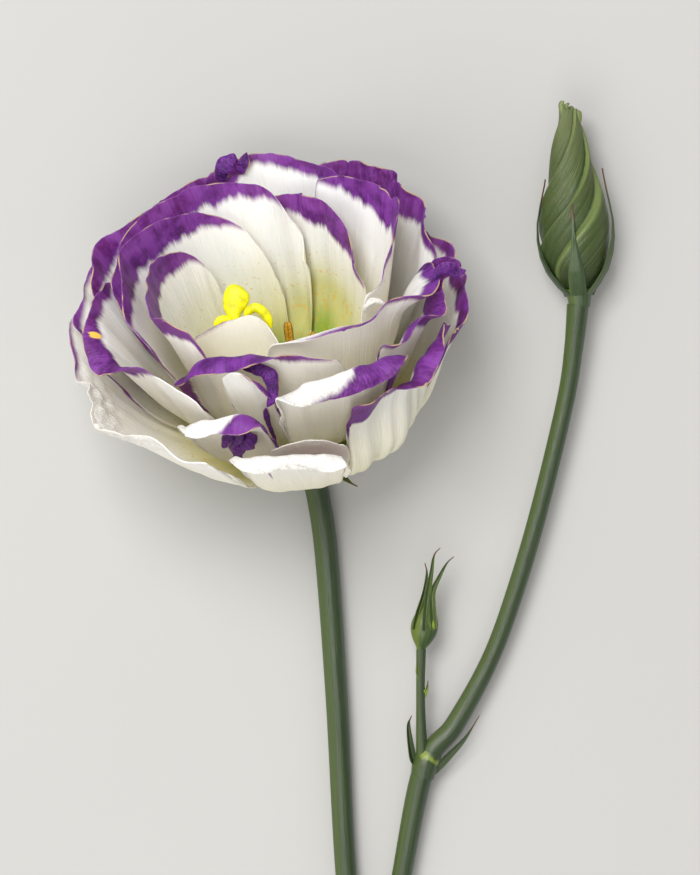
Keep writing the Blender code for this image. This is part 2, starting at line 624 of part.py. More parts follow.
def bud(material):
    """Petals rolled round each other: each one's edge stands out in a low step that winds up the bud."""
    foot, length, axes = bud_frame()
    turn = np.linspace(0, 1, BUD_SIDES, endpoint=False)
    rings = []
    for share, radius in BUD_PROFILE:
        fold = (turn + share * BUD_TWIST) * BUD_PETALS % 1.0
        step = np.where(fold < BUD_EDGE, fold / BUD_EDGE, (1 - fold) / (1 - BUD_EDGE))
        grow = 1 + BUD_FOLD * (step - 0.6) * ease(share * 5) * (1 + share)
        rings.append(circle(radius * grow, share * length, BUD_SIDES))
    skin("bud", np.array(rings) @ axes + foot, material)


def bud_calyx(material):
    """A cup below the bud with five narrow sepals that lie close along it."""
    foot, length, axes = bud_frame()
    shares, radii = np.array(BUD_PROFILE).T
    pieces = [turned("cup", BUD_CUP, 15, material, lambda rings: rings @ axes + foot)]
    for azimuth, reach, stand in BUD_SEPALS:
        out, side = around(azimuth)
        share = np.linspace(0, 1, len(BUD_SEPAL_HALF_WIDTHS))
        radius = np.interp(share * reach, shares, radii) * BUD_SWELL
        radius += BLADE / 2 + BUD_SEPAL_GAP + stand * share**2
        height = share * reach * length
        radius[0], height[0] = BUD_SEPAL_ROOT
        rows = [
            [out * r + side * w * s + np.array((0, 0, h)) for s in LEAF_SIDES]
            for r, h, w in zip(radius, height, BUD_SEPAL_HALF_WIDTHS)
        ]
        pieces.append(blade("bud_sepal", np.array(rows) @ axes + foot, BLADE, material))
    fused("bud_calyx", pieces, material)


YOUNG_FOOT = (13.7, -0.7, 6.1)
YOUNG_TIP = (15.2, 8.6, 6.9)
YOUNG_PROFILE = ((0.0, 0.9), (0.12, 1.7), (0.28, 2.35), (0.45, 2.45), (0.62, 2.0), (0.8, 1.25), (1.0, 0.6))
YOUNG_SEPAL_HALF_WIDTH = 0.75
YOUNG_SEPALS = (
    ((14.9, 3.6, 8.0), (15.6, 8.0, 8.4), (16.3, 12.4, 8.6), (17.0, 17.4, 9.0)),
    ((15.8, 4.6, 6.4), (16.9, 9.0, 6.6), (18.0, 12.6, 7.0), (19.9, 15.8, 7.6)),
    ((13.2, 4.6, 6.2), (13.8, 8.2, 6.6), (14.2, 11.0, 7.0), (14.4, 14.6, 7.4)),
)


def young_bud(material):
    """A small green bud whose long pointed sepals stand past it."""
    foot, tip = np.array(YOUNG_FOOT), np.array(YOUNG_TIP)
    length, axes = np.linalg.norm(tip - foot), frame_along(tip - foot)
    profile = [(radius, share * length) for share, radius in YOUNG_PROFILE]
    pieces = [turned("egg", profile, 12, material, lambda rings: rings @ axes + foot)]
    pieces += [bract(line, YOUNG_SEPAL_HALF_WIDTH, material) for line in YOUNG_SEPALS]
    fused("young_bud", pieces, material)


def main():
    for piece in list(bpy.data.objects):
        bpy.data.objects.remove(piece)
    petals(finish("petal", (0.86, 0.82, 0.76), 0.55, 0.2))
    calyx(finish("calyx_green", (0.13, 0.2, 0.03), 0.6))
    pistil(finish("stigma_yellow", (0.84, 0.78, 0.02), 0.6))
    stamens(finish("anther_amber", (0.5, 0.27, 0.02), 0.6))
    stem(finish("stem_green", (0.06, 0.12, 0.02), 0.45))
    bud(finish("bud_green", (0.2, 0.3, 0.06), 0.5))
    bud_calyx(finish("bud_calyx_green", (0.09, 0.15, 0.02), 0.5))
    young_bud(finish("young_bud_green", (0.1, 0.2, 0.02), 0.5))


main()
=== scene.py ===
import math

import bmesh
import bpy
import numpy as np
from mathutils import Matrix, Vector


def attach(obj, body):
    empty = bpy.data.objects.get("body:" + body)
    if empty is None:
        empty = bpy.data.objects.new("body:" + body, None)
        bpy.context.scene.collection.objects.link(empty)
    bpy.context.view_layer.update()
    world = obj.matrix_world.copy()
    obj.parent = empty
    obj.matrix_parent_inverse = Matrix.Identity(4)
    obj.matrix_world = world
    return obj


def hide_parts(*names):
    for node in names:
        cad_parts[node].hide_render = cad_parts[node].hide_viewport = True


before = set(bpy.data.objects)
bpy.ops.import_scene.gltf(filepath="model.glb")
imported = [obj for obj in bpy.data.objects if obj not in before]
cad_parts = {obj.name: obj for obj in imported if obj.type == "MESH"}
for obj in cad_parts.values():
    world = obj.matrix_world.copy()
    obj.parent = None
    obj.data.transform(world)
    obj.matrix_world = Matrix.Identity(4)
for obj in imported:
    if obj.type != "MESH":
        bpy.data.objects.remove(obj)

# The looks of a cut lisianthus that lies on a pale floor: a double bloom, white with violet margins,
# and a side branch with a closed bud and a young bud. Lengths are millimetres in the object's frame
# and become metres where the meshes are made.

METRES = 0.001
UP = np.array((0.0, 0.0, 1.0))
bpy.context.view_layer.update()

# The camera looks straight down. One photograph pixel is VIEW_PIXEL mm at the bloom's middle height.
PHOTO_HEIGHT = 875
VIEW_PIXEL = 0.176
VIEW_MIDDLE = (0.8, 37.3)
VIEW_HEIGHT = 750.0
FOCUS_HEIGHT = 28.0

# The bloom's place and lean, as the frame has them.
BLOOM_SEAT = (-8, 39.5, 7.9)
BLOOM_RISE = 41.0
BLOOM_TURN = 103.0

# Claws stand on a steep cone, level 0 at its top and 1 at its foot. A wall starts at WALL_START degrees
# and bends up to WALL_END within WALL_RAMP mm: innermost petal's value first, outermost petal's second.
CLAW_TOP = (2.6, 7)
CLAW_STEP = (1.5, -7)
CLAW_HALF_WIDTH = 30.0
WALL_START = (30, 4)
WALL_END = (99, 59)
WALL_RAMP = (21, 32)
RAY_STEPS = 160
# A petal's shoulders: the share of each half that they take, and the degrees and the share of the length
# that the margin turns on and loses along them. Over SPREAD of its length a petal changes from its claw's
# width to its rim's, at OPENING_OUT its wall has the rim's openness, and BELLY_REACH ends its belly.
SHOULDER = 0.22
SHOULDER_ENDS = ((10, 0.35), (10, 0.35))
SPREAD = 0.5
OPENING_OUT = 0.55
BELLY_REACH = 0.85
# Waves of the wall start at this share of its length. A roll's turn is made up before its depth ends.
WAVE_START = 0.5
ROLL_HASTE = 1.1

# A blade's points across and along it, closer together near the margin, and its thickness at claw and rim.
BLADE_ACROSS = 91
BLADE_ALONG = 64
RIM_CROWDING = 1.4
BLADE_THICK = (0.34, 0.2)
# Height over the floor that pressed petals keep, and how softly they come down to it.
PRESS = 0.17
PRESS_SOFTNESS = 0.35

# Petals from the heart outwards. level, opening, belly, ends, rolls, wave, claw, claw_half and rim give
# the form, as the frame has it: rim holds azimuth (0 right, 90 back, 180 left, 270 front), openness and
# length in even steps. A roll is degrees, place, half width and depth. The other values are the finish.
# A place across runs from -1 to 1, the rest is mm. band: the violet margin's width in even steps across.
# ruffle: height of the margin's small waves. pleat: how strong the lengthwise pleats are. nicks: place,
# half width, depth. puckers and crumples: place, half width, reach, height. folds lie along the margin:
# place, half width, start, depth, number, height. stains: what they colour, place, distance from the
# margin, half width, half depth, amount.
PETALS = {
    "petal_heart_front": dict(
        level=0, ends=((14, 0.25), (3, 0.3)), ruffle=0.12, band=(0.3, 1.5, 0.9, 0.1, 0, 0),
        rim=((192, 0.38, 25), (205, 0.32, 28.9), (219, 0.23, 31.3), (234, 0.15, 32.6), (249, 0.1, 32.8),
            (261, 0.13, 31.7), (267, 0.21, 30), (269, 0.3, 27.5)),
    ),
    "petal_inner_back": dict(
        level=(0.02, 0.02, 0.05, 0.21, 0.47), opening=(0.55, 0.5, 0.35, 0.25, 0.22),
        ends=((5, 0.2), (3, 0.35)), ruffle=0.22, band=(0.8, 1.6, 3.8, 6.2, 5.6, 4.2, 2.4),
        puckers=((0.12, 2, 8, 0.5),),
        stains=(("khaki", -0.1, 25, 22, 10, 1.3), ("khaki", -0.05, 34, 12, 11, 1.3)),
        rim=((0, 0.38, 25.5), (16, 0.38, 27.5), (21, 0.39, 31.5), (32, 0.42, 34.2), (46, 0.46, 36.7),
            (59, 0.52, 38), (70, 0.57, 38.6), (81, 0.61, 38.6)),
    ),
    "petal_inner_right": dict(
        level=(0.17, 0.17, 0.2, 0.26), opening=(0.55, 0.5, 0.3, 0.25), wave=(3, 1.2, 0.6),
        ends=((6, 0.3), (4, 0.35)), ruffle=0.3, band=(0.5, 1.6, 3.8, 6.6, 6, 3.6, 1),
        nicks=((0.02, 0.9, 1.5),), puckers=((0.1, 1.6, 9, 0.7),),
        stains=(("khaki", -0.6, 26, 9, 9, 0.9),),
        rim=((-34, 0.5, 36), (-18, 0.54, 37), (-4, 0.62, 41.5), (10, 0.65, 44.5), (26, 0.63, 44.2),
            (42, 0.61, 43.3), (58, 0.6, 41.5)),
    ),
    "petal_inner_left": dict(
        level=(0.16, 0.19, 0.2, 0.2), wave=(3, 1, 0), ends=((2, 0.3), (8, 0.35)), ruffle=0.25,
        band=(0, 0.1, 2.2, 4.8, 6, 7.2, 6.2, 3.6), nicks=((0.34, 1, 0.7),),
        puckers=((0.36, 1.6, 9, -0.6),),
        rim=((121.5, 0.34, 22), (124.5, 0.38, 28), (134, 0.42, 34.6), (155, 0.46, 38.8), (176, 0.5, 40.6),
            (194, 0.53, 42), (208, 0.54, 42), (222, 0.52, 41)),
    ),
    "petal_inner_front_right": dict(
        level=0.29, claw_half=26, rolls=((70, -0.5, 0.55, 4), (45, 0.75, 0.4, 12)), ruffle=0.3,
        band=(0.3, 0.8, 1.5, 1.8, 2.4, 3.4, 3),
        rim=((268, 0.34, 37), (284, 0.42, 39.5), (300, 0.52, 40.2), (314, 0.6, 39.5), (326, 0.7, 41),
            (338, 0.76, 42), (350, 0.74, 40)),
    ),
    "petal_inner_back_left": dict(
        level=(0.18, 0.266, 0.325, 0.34, 0.34), wave=(4, 1.5, 0.2), ends=((2, 0.3), (10, 0.35)),
        ruffle=0.25, band=(0, 0, 0.5, 2.6, 5.4, 6.4, 6.2, 4.8, 2),
        stains=(("khaki", -0.7, 30, 12, 10, 1.1),),
        rim=((84.5, 0.35, 22), (88, 0.38, 27.4), (95.5, 0.45, 33), (109, 0.53, 38.2), (127, 0.59, 42),
            (147, 0.6, 44.2), (166, 0.61, 45.2), (182, 0.63, 45), (198, 0.65, 43)),
    ),
    "petal_inner_front": dict(
        level=0.41, claw_half=26, ends=((1, 0.3), (6, 0.35)), rolls=((122, -0.45, 0.75, 6),), ruffle=0.3,
        band=(4, 5.5, 5.6, 5, 2.6, 1),
        rim=((220, 0.56, 37), (232, 0.5, 42), (246, 0.46, 43), (262, 0.48, 43), (276, 0.57, 40),
            (290, 0.66, 38)),
    ),
    "petal_middle_back_left": dict(
        level=(0.11, 0.32, 0.47, 0.48, 0.48), opening=(0.9, 0.75, 0.55, 0.55), wave=(4, 2, 0.4),
        ends=((2, 0.3), (10, 0.35)), ruffle=0.3, band=(0, 0, 0.6, 2.8, 3.6, 5.8, 7.2, 7, 6),
        nicks=((0, 1.2, 0.5),),
        stains=(("khaki", -0.8, 22, 11, 9, 1.2), ("khaki", -0.75, 31, 11, 10, 1.3)),
        rim=((64, 0.41, 26.5), (66.5, 0.44, 32.2), (74, 0.49, 37.2), (86, 0.57, 42), (100, 0.64, 44),
            (115, 0.69, 45.2), (130, 0.72, 45.5), (146, 0.74, 44.3), (160, 0.74, 43)),
    ),
    "petal_small_front": dict(
        level=0.54, claw=252, claw_half=18, ends=((2, 0.3), (1.5, 0.3)), rolls=((50, 0.7, 0.5, 5),),
        ruffle=0.3, band=(0, 0.1, 1, 4, 5.5),
        rim=((244, 0.6, 40), (249, 0.62, 42.3), (254, 0.63, 42.8), (259, 0.64, 42), (262, 0.65, 37.5)),
    ),
    "petal_middle_right": dict(
        level=0.54, ends=((1.5, 0.3), (1.5, 0.3)), rolls=((40, 0, 1, 6),), wave=(4, 1.5, 0), ruffle=0.5,
        band=(2, 3.8, 6.6, 7, 6, 4), crumples=((0.2, 12, 4, 0.18),),
        rim=((309, 0.72, 40), (320, 0.8, 42.5), (331, 0.84, 42.5), (342, 0.84, 43), (350, 0.88, 45),
            (356, 0.78, 41)),
    ),
    "petal_middle_left": dict(
        level=0.6, claw_half=24, ends=((10, 0.35), (3, 0.35)), rolls=((80, 0, 0.35, 6),), ruffle=0.3,
        band=(2.4, 3.2, 3.4, 6.4, 5.5, 0.6, 0), folds=((0.12, 4, 0.6, 5.5, 2, 0.35),),
        crumples=((0.06, 7, 5, 0.22),), stains=(("amber", -0.19, 2.4, 0.8, 1.5, 1.1),),
        rim=((160, 0.8, 43), (172, 0.81, 45), (184, 0.82, 46), (195, 0.86, 44), (206, 0.74, 43),
            (220, 0.74, 42.5), (236, 0.8, 41)),
    ),
    "petal_middle_back": dict(
        level=0.59, wave=(4, 1.2, 0.5), ruffle=0.35, band=(1, 3.2, 2.8, 2.2, 6.5),
        puckers=((0.8, 1.5, 7, 1.5),), crumples=((0.85, 3, 6, 0.5),),
        rim=((46, 0.68, 42), (60, 0.7, 45.2), (74, 0.73, 47.2), (88, 0.77, 48), (99, 0.78, 46.5)),
    ),
    "petal_middle_front": dict(
        level=0.68, ends=((1.5, 0.3), (2, 0.3)), rolls=((150, 0.05, 0.95, 7),), ruffle=0.5, pleat=2,
        crumples=((-0.1, 14, 5, 0.14),), band=(0.4, 0.6, 2, 6, 6),
        rim=((265.5, 0.71, 44), (275, 0.67, 46.6), (286, 0.71, 47.6), (297, 0.75, 47.8), (308, 0.78, 45.5)),
    ),
    "petal_outer_back_left": dict(
        level=0.71, wave=(3, 1.2, 0.1), ruffle=0.35, band=(2.6, 3.2, 2.2, 2.8, 5.2, 3),
        rim=((92, 0.84, 46), (104, 0.84, 47.2), (118, 0.85, 46.4), (132, 0.86, 46.8), (146, 0.87, 48),
            (158, 0.87, 46)),
    ),
    "petal_outer_back_right": dict(
        level=0.74, wave=(4, 1.8, 0.7), ends=((2, 0.3), (6, 0.35)), ruffle=0.5,
        band=(1.6, 3.4, 5.2, 7.6, 6.6, 4.8, 4.4), nicks=((0.25, 0.8, 0.7), (-0.1, 0.9, 0.6)),
        puckers=((0.22, 1.3, 8, 0.8), (-0.35, 1.2, 7, 0.6)), crumples=((0, 6, 5, 0.25),),
        rim=((2, 0.75, 42), (14, 0.76, 46.5), (25, 0.76, 47.2), (36, 0.77, 48.2), (48, 0.78, 48.4),
            (60, 0.78, 47.3), (70, 0.78, 45)),
    ),
    "petal_middle_front_left": dict(
        level=0.8, claw_half=24, ends=((4, 0.3), (1.5, 0.3)), rolls=((140, 0, 0.9, 5.5),), ruffle=0.4,
        band=(0, 0, 1, 5, 5.5), crumples=((-0.4, 6, 6, 0.2),),
        stains=(("outer", -0.1, 18, 2, 9, 7),),
        rim=((232, 0.86, 41.5), (239, 0.81, 44.6), (246, 0.78, 45.8), (253, 0.77, 45), (258, 0.8, 42)),
    ),
    "petal_outer_front_right": dict(
        level=0.86, claw_half=22, belly=(22, 21, 15.5, 2), ends=((1, 0.3), (4, 0.3)),
        rolls=((70, -0.1, 0.5, 6),), ruffle=0.45, pleat=3.5, band=(2.5, 4.5, 6.5, 7.5, 7, 5),
        stains=(("outer", -0.56, 3, 4.5, 6, 7), ("outer", -0.82, 8, 1.1, 8, 7)),
        rim=((290, 0.87, 40), (304, 0.9, 42.5), (314, 0.93, 44.5), (322, 0.91, 46), (330, 0.9, 45),
            (338, 0.92, 40)),
    ),
    "petal_outer_left": dict(
        level=0.84, wave=(3, 1, 0.2), ruffle=0.4, band=(2.5, 1.4, 1, 2.6, 2.6),
        rim=((140, 0.95, 47), (150, 0.94, 46.4), (160, 0.94, 45.6), (170, 0.94, 45.6), (178, 0.94, 44)),
    ),
    "petal_outer_right": dict(
        level=1, belly=(11, 9, 0, 0), wave=(4, 1.5, 0), ends=((2, 0.3), (8, 0.35)), ruffle=0.4,
        band=(5.5, 6, 4.5, 3, 1.2),
        rim=((-20, 0.98, 41), (-10, 0.96, 45), (0, 0.91, 44.3), (12, 0.88, 43.6), (24, 0.88, 42)),
    ),
    "petal_small_low_front": dict(
        level=0.94, claw_half=14, ends=((1.5, 0.3), (4, 0.3)), ruffle=0.3, band=(1.2, 0, 0, 0),
        stains=(("mauve", 0.1, 3, 12, 9, 1),), crumples=((0, 6, 4, 0.15),),
        rim=((259, 0.9, 36), (266, 0.92, 40), (275, 0.96, 40), (281, 1, 37)),
    ),
    "petal_low_left": dict(
        level=0.97, wave=(4, 1.5, 0.3), ends=((8, 0.35), (1.5, 0.3)), ruffle=0.9,
        band=(0.4, 1, 1.4, 0.2, 0, 0, 0, 0), crumples=((0.1, 16, 13, 0.4),),
        rim=((156, 1.03, 44), (168, 1.03, 46), (180, 1, 44.6), (192, 0.99, 44.6), (206, 1.06, 47),
            (220, 1.04, 46), (233, 1.05, 45), (243, 1.08, 43)),
    ),
    "petal_low_front": dict(
        level=1.09, claw_half=24, ends=((1.5, 0.3), (2, 0.3)), rolls=((165, 0.1, 1, 4.6),), ruffle=0.35,
        band=(0.6, 0, 0, 0), crumples=((0, 14, 6, 0.2),),
        stains=(("outer", -0.2, 13, 0.7, 7, 5.8),),
        rim=((250, 0.94, 45), (259, 0.965, 47.5), (269, 1, 48), (279, 1.06, 45.5)),
    ),
}
# Small waves of the margin, soft pleats of the wall, and the unevenness of the margin's line: pairs of
# length and height. Waves differ in length by up to WAVE_SPREAD.
RUFFLES = ((15, 0.6), (9.5, 0.4), (6.2, 0.2))
RUFFLE_REACH = 0.3
PLEATS = ((11, 0.1), (6.2, 0.06), (3.6, 0.02))
PLEAT_START = 0.5
EROSION = ((8, 0.12), (3.6, 0.06), (1.7, 0.025))
WAVE_SPREAD = 0.15
# The violet margin also runs down each side of a petal, narrowing from SIDE_START on.
SIDE_START = 1.5
SIDE_SPREAD = 1.3
SIDE_FROM = 14.0
SIDE_FADE = 0.5
# The outer face's violet is narrower. Where a band is narrower than BAND_FADE, it goes BAND_LOSS back and
# no violet is left at all. No place is further from the violet than VIOLET_LEAST.
OUTER_NARROWER = 0.8
BAND_FADE = 0.9
BAND_LOSS = 1.3
VIOLET_LEAST = -4.0
# A crumple is a tangle of this many waves, whose lengths lie between these. It is at full height over the
# first CRUMPLE_FULL of its reach.
TANGLE_WAVES = 7
TANGLE_LENGTHS = (1.8, 5.0)
TANGLE_PEAK = 1.4
CRUMPLE_FULL = 1 / 3
# How far apart two petals' noise lies.
SEED_STEP = 7.3

# What the materials read at a shell's points.
PETAL_MARKS = ("violet", "band", "edge", "vein", "reach", "wrinkle", "amber", "tinge", "seed", "outer")
GREEN_MARKS = ("side", "up", "along", "tip", "lime")


def ease(x):
    """0 below 0, 1 above 1, and a smooth step between them."""
    x = np.clip(x, 0.0, 1.0)
    return x * x * (3.0 - 2.0 * x)


def between(pair, share):
    return pair[0] + (pair[1] - pair[0]) * share


def bell(x, middle, half):
    return np.exp(-(((x - middle) / half) ** 2))


def unit(vectors):
    return vectors / (np.linalg.norm(vectors, axis=-1, keepdims=True) + 1e-12)


def shares(count):
    return np.linspace(0, 1, count)


def turns(count):
    """Angles in even steps round a circle."""
    return np.linspace(0, 2 * np.pi, count, endpoint=False)


def through(knots, place):
    """The smooth curve through evenly spaced knots, read at places from 0 to 1."""
    knots = np.asarray(knots, float)
    spans = len(knots) - 1
    along = np.clip(np.asarray(place, float) * spans, 0.0, spans)
    first = np.minimum(along.astype(int), spans - 1)
    part = along - first
    if knots.ndim > 1:
        part = part[..., None]
    ends = np.concatenate([[2 * knots[0] - knots[1]], knots, [2 * knots[-1] - knots[-2]]])
    a, b, c, d = ends[first], ends[first + 1], ends[first + 2], ends[first + 3]
    square = part * part
    cube = square * part
    bend = (2 * a - 5 * b + 4 * c - d) * square + (3 * b - a - 3 * c + d) * cube
    return 0.5 * (2 * b + (c - a) * part + bend)


def bloom_axes():
    """The bloom's right, back and up directions."""
    rise, turn = math.radians(BLOOM_RISE), math.radians(BLOOM_TURN)
    up = np.array((math.cos(rise) * math.cos(turn), math.cos(rise) * math.sin(turn), math.sin(rise)))
    right = unit(np.cross(up, UP))
    return np.array((right, np.cross(up, right), up))


def in_place(points):
    """Points of the bloom, set on its seat, and pressed softly flat where they come down to the floor."""
    placed = np.asarray(points) @ bloom_axes() + np.array(BLOOM_SEAT)
    over = (placed[..., 2] - PRESS) / PRESS_SOFTNESS
    placed[..., 2] = PRESS + PRESS_SOFTNESS * np.logaddexp(0.0, over)
    return placed


def wall(level, rim_open, length, share, bend=0.0, opening=OPENING_OUT):
    """Radius and height along rays that climb from the claw to the margin."""
    run = share * length
    openness = level + (rim_open - level) * ease(share / opening)
    climb = between(WALL_START, openness)
    climb = climb + (between(WALL_END, openness) - climb) * ease(run / between(WALL_RAMP, openness))
    climb = np.radians(climb - bend)
    step = length / (share.shape[-1] - 1)
    radius, height = np.cos(climb), np.sin(climb)
    still = np.zeros_like(radius[:, :1])
    radius = np.concatenate([still, np.cumsum((radius[:, 1:] + radius[:, :-1]) / 2 * step, 1)], 1)
    height = np.concatenate([still, np.cumsum((height[:, 1:] + height[:, :-1]) / 2 * step, 1)], 1)
    return CLAW_TOP[0] + CLAW_STEP[0] * level + radius, CLAW_TOP[1] + CLAW_STEP[1] * level + height


def petal_rim(petal, side):
    """Azimuth, openness and length of the margin: its stations, and a rounded shoulder at each end."""
    place = np.clip(side / (1 - SHOULDER), -1, 1)
    azimuth, rim_open, length = np.split(through(petal["rim"], (place[:, 0] + 1) / 2), 3, axis=1)
    quarter = np.clip((np.abs(side) - 1) / SHOULDER + 1, 0, 1) * np.pi / 2
    first, last = petal.get("ends", SHOULDER_ENDS)
    turn, fall = [np.where(side < 0, a, b) for a, b in zip(first, last)]
    azimuth = azimuth + np.sign(side) * turn * np.sin(quarter)
    return azimuth, rim_open, length * (1 - fall * (1 - np.cos(quarter)))


def petal_rays(petal, across):
    """Rays from claw to margin, in the bloom's frame, and their lengths."""
    side = np.asarray(across, float)[:, None]
    azimuth, rim_open, length = petal_rim(petal, side)
    level, opening, belly = [
        through(value, (side + 1) / 2) if isinstance(value, tuple) else value
        for value in (petal["level"], petal.get("opening", OPENING_OUT), petal.get("belly", 0.0))
    ]
    place = side / (1 - SHOULDER)
    share = np.broadcast_to(shares(RAY_STEPS), (len(side), RAY_STEPS))
    bend = belly * np.sin(2 * np.pi * np.minimum(share / BELLY_REACH, 1.0))
    if "wave" in petal:
        swing, count, phase = petal["wave"]
        wave = np.sin(2 * np.pi * (count * place + phase))
        bend = bend - swing * wave * ease((share - WAVE_START) / (1 - WAVE_START))
    for turn, middle, width, depth in petal.get("rolls", ()):
        reach = np.exp(-np.abs((place - middle) / width) ** 3)
        bend = bend + turn * reach * ease((share * length - length + depth) / depth * ROLL_HASTE)
    radius, height = wall(level, rim_open, length, share, bend, opening)
    claw = petal.get("claw", (petal["rim"][0][0] + petal["rim"][-1][0]) / 2)
    claw = claw + side * petal.get("claw_half", CLAW_HALF_WIDTH)
    azimuth = np.radians(claw + (azimuth - claw) * ease(share / SPREAD))
    return np.stack([radius * np.cos(azimuth), radius * np.sin(azimuth), height], -1), length[:, 0]


def ripple(place, draw, waves):
    """A sum of sine waves along a place in mm. Each wave is its length and its height."""
    total = np.zeros_like(place)
    for length, height in waves:
        pace = (1 + draw.uniform(-WAVE_SPREAD, WAVE_SPREAD)) / length
        total += height * np.sin(2 * np.pi * (place * pace + draw.random()))
    return total


def tangle(across, along, draw):
    """Waves in all directions over a surface, between -1 and 1."""
    total = 0.0
    for _ in range(TANGLE_WAVES):
        turn, pace = draw.uniform(0, np.pi), 2 * np.pi / draw.uniform(*TANGLE_LENGTHS)
        total = total + np.sin(pace * (across * np.cos(turn) + along * np.sin(turn)) + draw.uniform(0, 6))
    return total / TANGLE_WAVES**0.5 / TANGLE_PEAK


def normals(rows):
    return unit(np.cross(np.gradient(rows, axis=0), np.gradient(rows, axis=1)))


def arc(rows, axis):
    """How far each point lies along its row or column."""
    steps = np.linalg.norm(np.diff(rows, axis=axis), axis=-1)
    start = np.zeros_like(np.take(steps, [0], axis=axis))
    return np.concatenate([start, np.cumsum(steps, axis=axis)], axis=axis)


def petal_rows(petal, seed):
    """A petal's middle surface with its ruffles, folds and nicks, and what its colouring reads. Where a
    mark has two layers, they are for the inner and the outer face."""
    draw = np.random.default_rng(seed)
    across = np.linspace(-1, 1, BLADE_ACROSS)
    along = 1 - (1 - shares(BLADE_ALONG)) ** RIM_CROWDING
    rays, length = petal_rays(petal, across)
    rim_place = arc(rays[:, -1], 0)
    rim_place = rim_place - rim_place[-1] / 2

    def near(place, width):
        return bell(rim_place, place * rim_place[-1], width)

    cut = ripple(rim_place, draw, EROSION)
    for place, width, depth in petal.get("nicks", ()):
        cut = cut + depth * near(place, width)
    rows = np.stack([through(ray, along * (1 - c / l)) for ray, c, l in zip(rays, cut, length)], axis=1)
    end = arc(rows, 0)
    end = end[-1] - end
    share = 1 - end / length
    ruffles = petal["ruffle"] * ripple(rim_place, draw, RUFFLES)
    lift = ruffles * ease((share - 1 + RUFFLE_REACH) / RUFFLE_REACH)
    pleats = petal.get("pleat", 1.0) * ripple(rim_place, draw, PLEATS)
    lift = lift + pleats * ease(share / PLEAT_START) * (1 - np.abs(across) ** 4)
    for place, width, reach, height in petal.get("puckers", ()):
        lift = lift + height * near(place, width) * ease(1 - end / reach)
    for place, width, start, depth, count, height in petal.get("folds", ()):
        part = np.pi * np.clip((end - start) / depth, 0, 1)
        lift = lift + height * near(place, width) * np.sin(part) * np.sin(2 * count * part)
    wrinkle = 0 * end
    for place, width, reach, height in petal.get("crumples", ()):
        window = near(place, width) * ease((1 - end / reach) / (1 - CRUMPLE_FULL))
        lift = lift + height * window * tangle(rim_place + 0 * end, end, draw)
        wrinkle = wrinkle + window
    rows = rows + normals(rows) * lift[..., None]
    sides = arc(rows, 1)
    side = np.minimum(sides, sides[:, -1:] - sides)
    down_side = side * SIDE_SPREAD + SIDE_START + np.maximum(0, end - SIDE_FROM) * SIDE_FADE
    band = through(petal["band"], (np.clip(across / (1 - SHOULDER), -1, 1) + 1) / 2)
    violet = band - np.minimum(end, down_side) - BAND_LOSS * (1 - ease(band / BAND_FADE))
    violet = np.maximum(violet, VIOLET_LEAST)
    stains = dict.fromkeys(("outer", "amber", "khaki", "mauve"), 0 * end)
    for kind, place, middle, width, depth, amount in petal.get("stains", ()):
        stains[kind] = stains[kind] + amount * near(place, width) * bell(end, middle, depth)
    marks = {
        "violet": np.stack([violet, violet - OUTER_NARROWER + stains["outer"]]),
        "band": band,
        "edge": np.minimum(end, side),
        "vein": rim_place,
        "reach": length - end,
        "wrinkle": np.minimum(wrinkle, 1.0),
        "amber": np.stack([stains["amber"], 0 * end]),
        "tinge": np.stack([stains["khaki"], stains["mauve"]]),
        "seed": seed * SEED_STEP,
        "outer": np.stack([0 * end, 0 * end + 1]),
    }
    return in_place(rows), marks


def add_object(name, data):
    made = bpy.data.objects.new(name, data)
    bpy.context.scene.collection.objects.link(made)
    return made


# Edges that bend more than this many degrees stay sharp.
CREASE = 55.0


